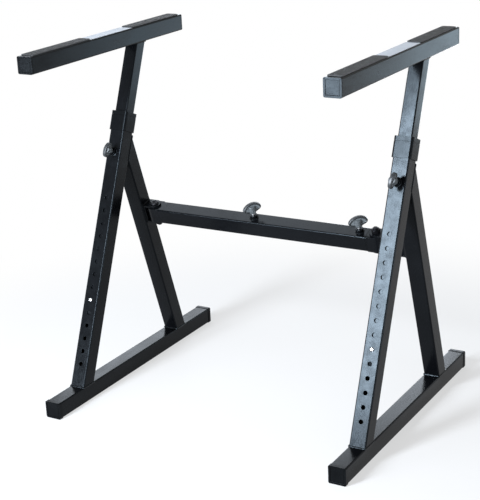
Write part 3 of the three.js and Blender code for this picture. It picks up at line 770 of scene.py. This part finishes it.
def leg_collar(side):
    """The sleeve on a front leg's top: a groove, a lip over the leg's end and a passage for the post."""
    node = side + "_leg_collar"
    place = LEG_PLACE[side]
    low, high = extent(node, place)
    bottom = high.z - COLLAR_HEIGHT
    piece = square_bar(node + "_moulding", (low.x, low.y, bottom), high, Z, COLLAR_CORNER, steps=6)
    groove_top = high.z - COLLAR_BAND
    score(piece, groove_top, groove_top - COLLAR_GROOVE)
    groove_middle = groove_top - COLLAR_GROOVE / 2
    select_parts(piece, "FACE", lambda face: abs(face.center.z - groove_middle) < COLLAR_GROOVE / 2)
    bpy.ops.mesh.extrude_region_shrink_fatten(TRANSFORM_OT_shrink_fatten={"value": -COLLAR_GROOVE_DEPTH})
    close_edit()
    for half, start, end, corner in (
            (TUBE / 2 + FIT_GAP, bottom - OVERCUT, high.z - COLLAR_LIP, SOCKET_CORNER),
            (SLIDING_TUBE / 2 + FIT_GAP, bottom, high.z + OVERCUT, PASSAGE_CORNER)):
        cutter = square_bar("passage", (-half, -half, start), (half, half, end), Z, corner)
        cut(piece, cutter)
    soften_edges(piece, COLLAR_ROUND, steps=3)
    put(piece, place)
    return finish_piece(piece, side + "_frame", CAP, node)


def arm_pad(side, end):
    """A ribbed rubber strip on an arm's top."""
    node = f"{side}_arm_pad_{end}"
    low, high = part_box(node)
    crest = high.z - RIB_HEIGHT
    base = square_bar(node + "_strip", low, (high.x, high.y, crest), Z, PAD_CORNER)
    soften_edges(base, PAD_EDGE)
    pitch = (high.x - low.x - 2 * PAD_RIM) / PAD_RIBS
    ribs = []
    for index in range(PAD_RIBS):
        left = low.x + PAD_RIM + (index + (1 - RIB_SHARE) / 2) * pitch
        inset = PAD_RIM + (OUTER_RIB_SHORTER if index in (0, PAD_RIBS - 1) else 0)
        rib_low = (left, low.y + inset, crest - RIB_ROOT)
        rib = block("rib", rib_low, (left + RIB_SHARE * pitch, high.y - inset, high.z))
        soften_edges(rib, RIB_EDGE)
        ribs.append(rib)
    piece = join_pieces(node + "_strip", [base, *ribs])
    return finish_piece(piece, side + "_support", RUBBER, node)


def arm_reflection_plate(side):
    """A pale plate on an arm's top between the pads, put where the top shows a reflection: painted reflection."""
    front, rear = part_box(side + "_arm_pad_front")[1].y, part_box(side + "_arm_pad_rear")[0].y
    low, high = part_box(side + "_arm_tube")
    middle = (low.x + high.x) / 2
    start = (middle - PLATE_WIDTH / 2, front + PLATE_GAP, high.z - PLATE_SUNK)
    end = (middle + PLATE_WIDTH / 2, rear - PLATE_GAP, high.z + PLATE_THICKNESS)
    # Painted reflection: a pale sheet where the arm's top mirrors the white surroundings
    piece = square_bar(side + "_arm_painted_reflection_plate", start, end, Z, PLATE_CORNER)
    soften_edges(piece, PLATE_EDGE)
    return finish_piece(piece, side + "_support", PAINTED_REFLECTION)


# ---- Clamp knobs, along Z from the middle of the tube that they clamp ----

def hull(name, pieces):
    """The convex skin round several pieces, its flat sides made whole."""
    piece = join_pieces(name, pieces)
    select_parts(piece, "VERT", every)
    bpy.ops.mesh.convex_hull()
    bpy.ops.mesh.select_all(action="SELECT")
    bpy.ops.mesh.dissolve_limited(angle_limit=math.radians(1))
    close_edit()
    return piece


def fan_blade(span, height):
    """A wing's blade: a crown arc between two lobes, narrow at the hub, with a sunk panel in each side."""
    half = WING_THICKNESS / 2
    lobe_x = span / 2 - WING_LOBE
    crown_radius = height + WING_CROWN_DROP
    rise = math.sqrt((crown_radius - WING_LOBE) ** 2 - lobe_x ** 2)
    crown = rod("crown", crown_radius, -half, half, (0, -WING_CROWN_DROP), 2 * ROUND_STEPS)
    for side in (-1, 1):
        trim(crown, (0, -WING_CROWN_DROP, 0), (side * rise, -lobe_x, 0))
    trim(crown, (0, WING_FOOT, 0), (0, -1, 0))
    lobe_y = rise - WING_CROWN_DROP
    lobes = [rod("lobe", WING_LOBE, -half, half, (side * lobe_x, lobe_y)) for side in (-1, 1)]
    neck_x = HUB_RADIUS - NECK_IN_HUB
    neck = block("neck", (-neck_x, WING_FOOT, -half), (neck_x, 2 * WING_FOOT, half))
    blade = put(hull("blade", [crown, *lobes, neck]), Matrix.Rotation(math.pi / 2, 4, "X"))
    soften_edges(blade, WING_ROUND, steps=4)
    large = 0.2 * span * height
    select_parts(blade, "FACE", lambda face: abs(face.normal.y) > FACING and face.area > large)
    bpy.ops.mesh.inset(thickness=WING_PANEL_RIM, use_individual=True)
    bpy.ops.mesh.inset(thickness=WING_PANEL_SLOPE, depth=-WING_PANEL_DEPTH, use_individual=True)
    close_edit()
    return blade


def clamp_wing(node, body, place):
    """The moulded wing: fan blade, ribbed hub and the fillets that the mould leaves between them."""
    low, high = extent(node, place)
    to_place = place.inverted()
    points = [to_place @ vertex.co for vertex in frame["nodes"][node].data.vertices]
    tip = max(points, key=lambda point: math.hypot(point.x, point.y))
    reach = math.hypot(tip.x, tip.y)
    half = WING_THICKNESS / 2 - WING_TIP_BEVEL
    turn = math.atan2(tip.y, tip.x) - math.asin(half / reach)
    blade = fan_blade(2 * math.sqrt(reach ** 2 - half ** 2), high.z - low.z)
    hub = rod("hub", HUB_RADIUS, 0, HUB_HEIGHT)
    soften_edges(hub, HUB_EDGE, steps=3)
    ribs = []
    ring = HUB_RADIUS - HUB_RIB_SUNK
    for index in range(HUB_RIBS):
        angle = 2 * math.pi * index / HUB_RIBS
        centre = (ring * math.cos(angle), ring * math.sin(angle))
        ribs.append(rod("rib", HUB_RIB_RADIUS, *HUB_RIB_SPAN, centre, HUB_RIB_STEPS))
    piece = join_pieces(node + "_moulding", [blade, hub, *ribs])
    modify(piece, "REMESH", mode="VOXEL", voxel_size=WING_VOXEL)
    modify(piece, "SMOOTH", factor=0.5, iterations=6)
    cut(piece, rod("bore", SCREW_HOLE_RADIUS, -OVERCUT, SCREW_IN_HUB))
    mark_painted_light(piece)
    put(piece, place @ Matrix.Translation((0, 0, low.z)) @ Matrix.Rotation(turn, 4, "Z"))
    return finish_piece(piece, body, KNOB, node)


def mark_painted_light(wing):
    """Notes where a wing is painted a lit grey, which is painted light: in its sunk panels and, less, on its hub.
    """
    marks = wing.data.attributes.new("dust_and_painted_light", "FLOAT", "POINT")
    floor_level = WING_THICKNESS / 2 - PAINTED_LIGHT_FROM_DEPTH * WING_PANEL_DEPTH
    for vertex, mark in zip(wing.data.vertices, marks.data):
        at_hub = abs(vertex.co.x) < HUB_RADIUS + HUB_RIB_RADIUS and vertex.co.z < HUB_HEIGHT + MM
        in_panel = abs(vertex.normal.y) > PAINTED_LIGHT_FACING and abs(vertex.co.y) < floor_level
        mark.value = HUB_PAINTED_LIGHT if at_hub else 1.0 if in_panel else 0.0


def clamp_screw(node, body, place):
    """A stud with a rolled thread and a plain dog point."""
    low, high = extent(node, place)
    radius = (high.x - low.x) / 2
    root = radius - THREAD_DEPTH
    core = rod(node + "_stud", root, low.z, high.z)
    soften_edges(core, STUD_EDGE)
    bpy.ops.object.select_all(action="DESELECT")
    bpy.ops.mesh.primitive_circle_add(vertices=3, radius=THREAD_PITCH / 2)
    thread = name_new("thread")
    put(thread, Matrix.Rotation(-math.pi / 2, 4, "Y") @ Matrix.Rotation(math.pi / 2, 4, "X"))
    outermost = max(vertex.co.x for vertex in thread.data.vertices)
    put(thread, Matrix.Translation((radius - outermost, 0, low.z + THREAD_FROM_TIP)))
    modify(
        thread, "SCREW", axis="Z", screw_offset=THREAD_PITCH, steps=THREAD_STEPS, render_steps=THREAD_STEPS,
        iterations=int((high.z - low.z - THREAD_SHORTER) / THREAD_PITCH))
    select_parts(thread, "VERT", every)
    bpy.ops.mesh.fill_holes(sides=4)
    bpy.ops.mesh.normals_make_consistent(inside=False)
    close_edit()
    piece = join_pieces(node + "_stud", [core, thread])
    put(piece, place)
    return finish_piece(piece, body, ZINC, node, smooth=50)


def weld_nut(node, body, place):
    """A round nut welded on a tube, with the bead round its foot."""
    low, high = extent(node, place)
    radius = (high.x - low.x) / 2
    piece = rod(node + "_turned", radius, low.z, high.z)
    soften_edges(piece, WELD_NUT_EDGE, steps=3)
    drill(piece, "bore", SCREW_HOLE_RADIUS, low.z, high.z)
    turns = [2 * math.pi * step / RING_STEPS for step in range(RING_STEPS + 1)]
    ring = [(radius * math.cos(turn), radius * math.sin(turn), low.z) for turn in turns]
    bead = bead_along(ring, NUT_BEAD_RADIUS)
    piece = join_pieces(node + "_turned", [piece, bead])
    put(piece, place)
    return finish_piece(piece, body, COAT, node)


def bead_along(points, radius=BEAD_RADIUS):
    """A weld bead along a line: a rod that swells and shrinks as the pool froze, as one closed shell."""
    line = bpy.data.curves.new("bead", "CURVE")
    line.dimensions = "3D"
    line.bevel_depth = radius
    line.bevel_resolution = 2
    line.use_fill_caps = True
    samples = []
    for start, end in zip(points, points[1:]):
        start, end = Vector(start), Vector(end)
        count = max(1, round((end - start).length / BEAD_STEP))
        samples += [start.lerp(end, step / count) for step in range(count)]
    samples.append(Vector(points[-1]))
    spline = line.splines.new("POLY")
    spline.points.add(len(samples) - 1)
    travelled = 0.0
    previous = samples[0]
    for point, sample in zip(spline.points, samples):
        travelled += (sample - previous).length
        previous = sample
        wave = (travelled / BEAD_RIPPLE_LENGTH) % 1.0
        wander = BEAD_WANDER * math.sin(travelled / BEAD_WANDER_LENGTH)
        point.co = (*sample, 1)
        point.radius = 1 + BEAD_RIPPLE * (0.5 - wave) + wander
    piece = bpy.data.objects.new("bead", line)
    bpy.context.scene.collection.objects.link(piece)
    pick(piece)
    bpy.ops.object.convert(target="MESH")
    return bpy.context.object


def clamp(prefix, fixed_body, knob_body, joint):
    """A clamp: weld nut on its tube, stud and wing."""
    axis = Vector(JOINTS[joint]["axis"])
    place = leaning_place(JOINTS[joint]["pos_m"], axis)
    weld_nut(prefix + "_weld_nut", fixed_body, place)
    clamp_screw(prefix + "_screw", knob_body, place)
    clamp_wing(prefix + "_wing", knob_body, place)


# ---- Hinges, about Z at the pivot ----

def hinge_bracket(side):
    """A forked bracket: two plates with round noses, a foot on the leg and, on the long one, a cheek."""
    node = side + "_hinge_bracket"
    place = HINGE_PLACE[side]
    low, high = extent(node, place)
    towards_leg = 1 if side == "right" else -1
    nose = high.y
    leg_face = high.x if towards_leg > 0 else low.x
    start, end = sorted((0, leg_face))
    piece = block(node + "_plates", (start, -nose, low.z), (end, nose, high.z))
    combine(piece, rod("nose", nose, low.z, high.z, steps=NOSE_STEPS), "UNION")
    fork_end = leg_face - towards_leg * BRACKET_PLATE
    start, end = sorted((-3 * nose * towards_leg, fork_end))
    inner = high.z - BRACKET_PLATE
    gap = block("fork", (start, -2 * nose, -inner), (end, 2 * nose, inner))
    if abs(fork_end) > CHEEK_FROM_BOLT:
        start, end = sorted((towards_leg * CHEEK_FROM_BOLT, leg_face + towards_leg * nose))
        cheek_low = (start, nose - BRACKET_PLATE, -inner - OVERCUT)
        cut(gap, block("cheek", cheek_low, (end, 3 * nose, inner + OVERCUT)))
    cut(piece, gap)
    drill(piece, "bolt_hole", BOLT_RADIUS + FIT_GAP, low.z, high.z)
    soften_edges(piece, BRACKET_EDGE, angle=50, steps=3)
    put(piece, place)
    return finish_piece(piece, side + "_frame", COAT, node)


def end_block(side, body):
    """The tongue that a hinge holds: its end is round about the bolt."""
    node = "crossbar_end_block_" + side
    place = HINGE_PLACE[side]
    low, high = extent(node, place)
    towards_bar = -1 if side == "right" else 1
    half = high.y
    shoulder = towards_bar * SHOULDER_FROM_BOLT
    start, end = sorted((0, shoulder))
    piece = block(node + "_casting", (start, -half, -half), (end, half, half))
    combine(piece, rod("tongue", half, -half, half, steps=NOSE_STEPS), "UNION")
    drill(piece, "bolt_hole", BOLT_RADIUS + FIT_GAP, -half, half)
    soften_edges(piece, CASTING_EDGE, angle=50, steps=3)
    reach = (TUBE if side == "left" else SLIDING_TUBE) / 2 - TUBE_WALL - FIT_GAP
    start, end = sorted((shoulder, high.x if towards_bar > 0 else low.x))
    spigot = square_bar("spigot", (start, -reach, -reach), (end, reach, reach), X, BORE_CORNER)
    piece = join_pieces(node + "_casting", [piece, spigot])
    put(piece, place)
    return finish_piece(piece, body, COAT, node)


def hinge_bolt(side):
    """A low round-headed bolt with a hexagon socket."""
    node = side + "_hinge_bolt"
    place = HINGE_PLACE[side]
    low, high = extent(node, place)
    head_up = 1 if side == "left" else -1
    head_radius = high.y
    tip, top = (low.z, high.z) if head_up > 0 else (high.z, low.z)
    shank = rod("shank", BOLT_RADIUS, *sorted((tip, top - head_up * BOLT_HEAD_HEIGHT / 2)))
    head = rod("head", head_radius, *sorted((top - head_up * BOLT_HEAD_HEIGHT, top)))
    select_parts(head, "FACE", faces_towards((0, 0, head_up)))
    bpy.ops.mesh.inset(thickness=head_radius * BOLT_FACE_RIM)
    close_edit()
    on_top = edge_at(head, Z, top)
    rim = head_radius - SAME_PLACE
    vertices = head.data.vertices

    def outer_edge(edge):
        return on_top(edge) and all(vertices[index].co.xy.length > rim for index in edge.vertices)
    round_edges(head, outer_edge, BOLT_HEAD_ROUND, steps=6)
    socket_span = sorted((top - head_up * BOLT_SOCKET_DEPTH, top + head_up * OVERCUT))
    cut(head, rod("socket", BOLT_SOCKET_RADIUS, *socket_span, steps=6))
    soften_edges(shank, BOLT_TIP_EDGE)
    piece = join_pieces(node + "_turned", [head, shank])
    put(piece, place)
    return finish_piece(piece, side + "_frame", BLACK_ZINC, node)


def hinge_nut(side):
    """A lock nut: chamfered hexagon, round collar and the ring that grips the thread."""
    node = side + "_hinge_nut"
    place = HINGE_PLACE[side]
    low, high = extent(node, place)
    outward = -1 if side == "left" else 1
    seat, end = (high.z, low.z) if outward < 0 else (low.z, high.z)
    corner_radius = max(high.x, high.y)
    crown = seat + outward * NUT_HEIGHT
    past = outward * OVERCUT
    hexagon = rod(node + "_pressed", corner_radius, *sorted((seat, crown)), steps=NUT_FACES)
    cone_radius = corner_radius * NUT_CHAMFER_SHARE
    cone = rod("chamfer", cone_radius, *sorted((seat - past, crown + past)), steps=NOSE_STEPS)
    soften_edges(cone, NUT_CHAMFER, steps=1)
    combine(hexagon, cone, "INTERSECT")
    ring = rod("ring", corner_radius * NUT_RING_SHARE, *sorted((crown - past, end)))
    soften_edges(ring, NUT_RING_EDGE, steps=3)
    combine(hexagon, ring, "UNION")
    drill(hexagon, "bore", BOLT_RADIUS + NUT_BORE_GAP, low.z, high.z)
    soften_edges(hexagon, NUT_EDGE, angle=50)
    put(hexagon, place)
    return finish_piece(hexagon, side + "_frame", BLACK_ZINC, node)


# ---- Spring buttons, along Z outwards from the middle of the button ----

def button_place(side):
    return leaning_place(middle_of(side + "_snap_button"), -Vector(JOINTS[side + "_button_press"]["axis"]))


def snap_button(side):
    """The domed button that looks out of a height hole."""
    node = side + "_snap_button"
    place = button_place(side)
    low, high = extent(node, place)
    flange = rod("flange", high.x, low.z, low.z + BUTTON_FLANGE)
    soften_edges(flange, BUTTON_EDGE)
    pin = rod("pin", BUTTON_RADIUS, low.z + BUTTON_FLANGE - PIN_IN_FLANGE, high.z)
    round_edges(pin, edge_at(pin, Z, high.z), BUTTON_DOME, steps=6)
    piece = join_pieces(node + "_turned", [flange, pin])
    put(piece, place)
    return finish_piece(piece, side + "_button", ZINC, node)


def blunt_block(name, low, high, end):
    """A block whose end at the given y is a half round about X."""
    piece = block(name, low, high)
    across, at_end = edges_along(piece, X), edge_at(piece, Y, end)
    radius = BEND_SHARE * (high[Z] - low[Z])
    round_edges(piece, lambda edge: across(edge) and at_end(edge), radius, BEND_STEPS)
    return piece


def button_spring(side):
    """The strip bent to a U behind a button."""
    node = side + "_button_spring"
    place = button_place(side)
    low, high = extent(node, place)
    mouth, bend = sorted((low.y, high.y), key=abs)
    out = math.copysign(1, mouth - bend)
    inner_bend = bend + out * SPRING_THICKNESS
    start, end = sorted((inner_bend, mouth + out * OVERCUT))
    hollow_low = (low.x - OVERCUT, start, low.z + SPRING_THICKNESS)
    hollow_high = (high.x + OVERCUT, end, high.z - SPRING_THICKNESS)
    hollow = blunt_block("hollow", hollow_low, hollow_high, inner_bend)
    piece = cut(blunt_block(node + "_strip", low, high, bend), hollow)
    put(piece, place)
    finish_piece(piece, side + "_support", SPRING, node)
    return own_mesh(piece)


# ---- Welds ----

ROUND_A_SQUARE = ((-1, -1), (1, -1), (1, 1), (-1, 1), (-1, -1))


def ring_points(place, half_x, half_y, cut):
    """Where the edges of a square tube at a place meet a plane: the corners of the weld round it."""
    point, normal = Vector(cut[0]), Vector(cut[1])
    corners = []
    for x, y in ROUND_A_SQUARE:
        start = place @ Vector((x * half_x, y * half_y, 0))
        along = place.col[Z].to_3d()
        corners.append(start + along * ((point - start).dot(normal) / along.dot(normal)))
    return corners


def welds(side):
    """Beads where the legs meet the foot and each other, and at the hinge bracket and the arm."""
    half = TUBE / 2
    floor_cut = ((0, 0, FOOT_TOP), (0, 0, 1))
    rear_place = HINGE_PLACE[side].copy()
    rear_place.translation.x = LEG_PLACE[side].translation.x
    behind = LEG_PLACE[side].col[Y].to_3d()
    leg_cut = (LEG_PLACE[side].translation + behind * half, behind)
    inset = half - BEAD_INSET
    beads = [
        bead_along(ring_points(LEG_PLACE[side], inset, half, floor_cut)),
        bead_along(ring_points(rear_place, inset, half, floor_cut)),
        bead_along(ring_points(rear_place, inset, half, leg_cut)),
    ]
    place = HINGE_PLACE[side]
    low, high = extent(side + "_hinge_bracket", place)
    face = high.x if side == "right" else low.x
    corners = [place @ Vector((face, y * high.y, z * high.z)) for y, z in ROUND_A_SQUARE]
    beads.append(bead_along(corners, BRACKET_BEAD_RADIUS))
    piece = join_pieces(side + "_frame_welds", beads)
    finish_piece(piece, side + "_frame", COAT)
    arm_cut = ((0, 0, ARM_LOW.z), (0, 0, 1))
    half = SLIDING_TUBE / 2
    bead = bead_along(ring_points(LEG_PLACE[side], half, half, arm_cut), ARM_BEAD_RADIUS)
    bead.name = bead.data.name = side + "_arm_weld"
    finish_piece(bead, side + "_support", COAT)


# ---- The stand ----

def build_stand():
    for side in SIDES:
        body, carrier = side + "_frame", side + "_support"
        plain_tube(side + "_foot_tube", body, Y)
        plain_tube(side + "_arm_tube", carrier, Y)
        front_leg(side)
        rear_leg(side)
        post(side)
        for end, outward in (("front", -1), ("rear", 1)):
            end_cap(f"{side}_foot_cap_{end}", body, outward)
            end_cap(f"{side}_arm_cap_{end}", carrier, outward)
            arm_pad(side, end)
        arm_reflection_plate(side)
        leg_collar(side)
        hinge_bracket(side)
        hinge_bolt(side)
        hinge_nut(side)
        snap_button(side)
        button_spring(side)
        clamp(side + "_clamp", body, side + "_clamp_knob", side + "_clamp_turn")
        welds(side)
    bar_place = HINGE_PLACE["left"]
    plain_tube("crossbar_outer_tube", "crossbar", X, bar_place)
    plain_tube("crossbar_inner_tube", "crossbar_slide", X, bar_place)
    end_block("left", "crossbar")
    end_block("right", "crossbar_slide")
    clamp("crossbar_clamp_middle", "crossbar", "middle_clamp_knob", "middle_clamp_turn")
    clamp("crossbar_clamp_end", "crossbar", "end_clamp_knob", "end_clamp_turn")


# ---- Studio ----

FLOOR_SIZE = 60
PAPER = (0.50, 0.49, 0.48, 1)
PAPER_WHITE = 0.6
PAPER_REACH = 0.6
WHITE_FROM = 1.3
ROOM_FILL = 0.2
COOL = (0.88, 0.97, 1.08)
BLUER = (0.74, 1.0, 1.2)
FRONT_BOX = 76
LOW_BOX = 56
OVER_BOX = 2.2
SIDE_BOX = 2.4
BACK_BOX = 3.2
STRIP_BOX = 7
POWER_FOR_RADIANCE = 4
STRIP_WIDTH = 1.4
STRIP_HEIGHT = 0.7
STRIPS_AT = ((0.55, -2.3), (2.4, 0), (-0.2, 2.3), (-2.4, 0))
IMAGE_WIDTH = 480
FOCAL_PIXELS = 1325.7
SENSOR = 36
CAMERA_AT = Vector((1.4269, -2.4403, 1.3024))
CAMERA_AZIMUTH = math.radians(31.02)
CAMERA_ELEVATION = math.radians(18.63)
CAMERA_ROLL = math.radians(-2.66)


def camera():
    """The photograph's view: a long lens, a little above the arms and to the right."""
    data = bpy.data.cameras.new("view")
    data.sensor_fit = "HORIZONTAL"
    data.sensor_width = SENSOR
    data.lens = FOCAL_PIXELS * SENSOR / IMAGE_WIDTH
    view = bpy.data.objects.new("view", data)
    bpy.context.scene.collection.objects.link(view)
    view.location = CAMERA_AT
    turn = Matrix.Rotation(CAMERA_AZIMUTH, 4, "Z") @ Matrix.Rotation(math.pi / 2 - CAMERA_ELEVATION, 4, "X")
    view.rotation_euler = (turn @ Matrix.Rotation(CAMERA_ROLL, 4, "Z")).to_euler()
    bpy.context.scene.camera = view


def soft_box(name, place, aim, width, height, radiance, tint):
    """A rectangular lamp that shines evenly towards a point."""
    data = bpy.data.lights.new(name, "AREA")
    data.shape = "RECTANGLE"
    data.size, data.size_y = width, height
    data.energy = POWER_FOR_RADIANCE * width * height * radiance
    data.color = tint
    lamp = bpy.data.objects.new(name, data)
    bpy.context.scene.collection.objects.link(lamp)
    lamp.location = place
    lamp.rotation_euler = (Vector(aim) - Vector(place)).to_track_quat("-Z", "Y").to_euler()
    lamp.visible_camera = False


def seen_directly(tree):
    """1 for rays that show the studio itself, straight or in gloss, and 0 for the light it gives."""
    rays = tree.nodes.new("ShaderNodeLightPath")
    seen = rays.outputs["Is Camera Ray"]
    for kind in ("Is Glossy Ray", "Is Transmission Ray"):
        seen = reckon(tree, "MAXIMUM", seen, rays.outputs[kind])
    return seen


def floor():
    """Pale paper that takes the stand's shadow and runs out into plain white."""
    bpy.ops.object.select_all(action="DESELECT")
    bpy.ops.mesh.primitive_plane_add(size=FLOOR_SIZE)
    sheet = bpy.context.object
    sheet.name = "floor"
    paper = bpy.data.materials.new("floor_paper")
    paper.use_nodes = True
    tree = paper.node_tree
    shader = tree.nodes["Principled BSDF"]
    set_inputs(shader, Base_Color=PAPER, Roughness=0.9, Specular_IOR_Level=0.0)
    place = tree.nodes.new("ShaderNodeTexCoord")
    distance = tree.nodes.new("ShaderNodeVectorMath")
    distance.operation = "LENGTH"
    tree.links.new(place.outputs["Object"], distance.inputs[0])
    run_out = tree.nodes.new("ShaderNodeMapRange")
    run_out.interpolation_type = "SMOOTHSTEP"
    set_inputs(run_out, From_Min=PAPER_REACH, From_Max=WHITE_FROM, To_Min=PAPER_WHITE)
    tree.links.new(distance.outputs["Value"], run_out.inputs["Value"])
    share = reckon(tree, "MULTIPLY", run_out.outputs["Result"], seen_directly(tree))
    white = tree.nodes.new("ShaderNodeEmission")
    blend = tree.nodes.new("ShaderNodeMixShader")
    tree.links.new(share, blend.inputs["Fac"])
    tree.links.new(shader.outputs["BSDF"], blend.inputs[1])
    tree.links.new(white.outputs["Emission"], blend.inputs[2])
    tree.links.new(blend.outputs["Shader"], tree.nodes["Material Output"].inputs["Surface"])
    sheet.data.materials.append(paper)


def room():
    """White all round where it is seen, and a weak even fill where it only lights."""
    world = bpy.data.worlds.new("studio")
    bpy.context.scene.world = world
    world.use_nodes = True
    tree = world.node_tree
    background = tree.nodes["Background"]
    set_inputs(background, Color=(1, 1, 1, 1))
    level = tree.nodes.new("ShaderNodeMapRange")
    set_inputs(level, To_Min=ROOM_FILL, To_Max=1.0)
    tree.links.new(seen_directly(tree), level.inputs["Value"])
    tree.links.new(level.outputs["Result"], background.inputs["Strength"])


def studio():
    """White paper under soft boxes: two at the front left for the gloss, one above, two at the back, and a
    ring of low strips that lights the stand's other sides."""
    floor()
    room()
    soft_box("front_box", (-0.55, -2.08, 1.32), (0.36, -0.1, 0.40), 0.44, 1.28, FRONT_BOX, COOL)
    soft_box("low_box", (-0.95, -2.27, 0.34), (0.1, -0.26, 0.8), 1.2, 0.3, LOW_BOX, COOL)
    soft_box("over_box", (-1.15, 1.30, 2.20), (0, 0.07, 0.4), 1.2, 1.2, OVER_BOX, COOL)
    soft_box("side_box", (0.85, 2.15, 0.38), (0.1, 0.1, 0.8), 0.9, 0.5, SIDE_BOX, BLUER)
    soft_box("back_box", (-1.3, 2.2, 1.15), (0, 0, 0.1), 1.8, 0.75, BACK_BOX, COOL)
    for index, place in enumerate(STRIPS_AT):
        place = (*place, STRIP_HEIGHT / 2)
        soft_box(f"strip_{index}", place, (0, 0, 0.5), STRIP_WIDTH, STRIP_HEIGHT, STRIP_BOX, COOL)
    bpy.context.scene.view_settings.view_transform = "Standard"


dress_cad_nodes()
build_stand()
camera()
studio()
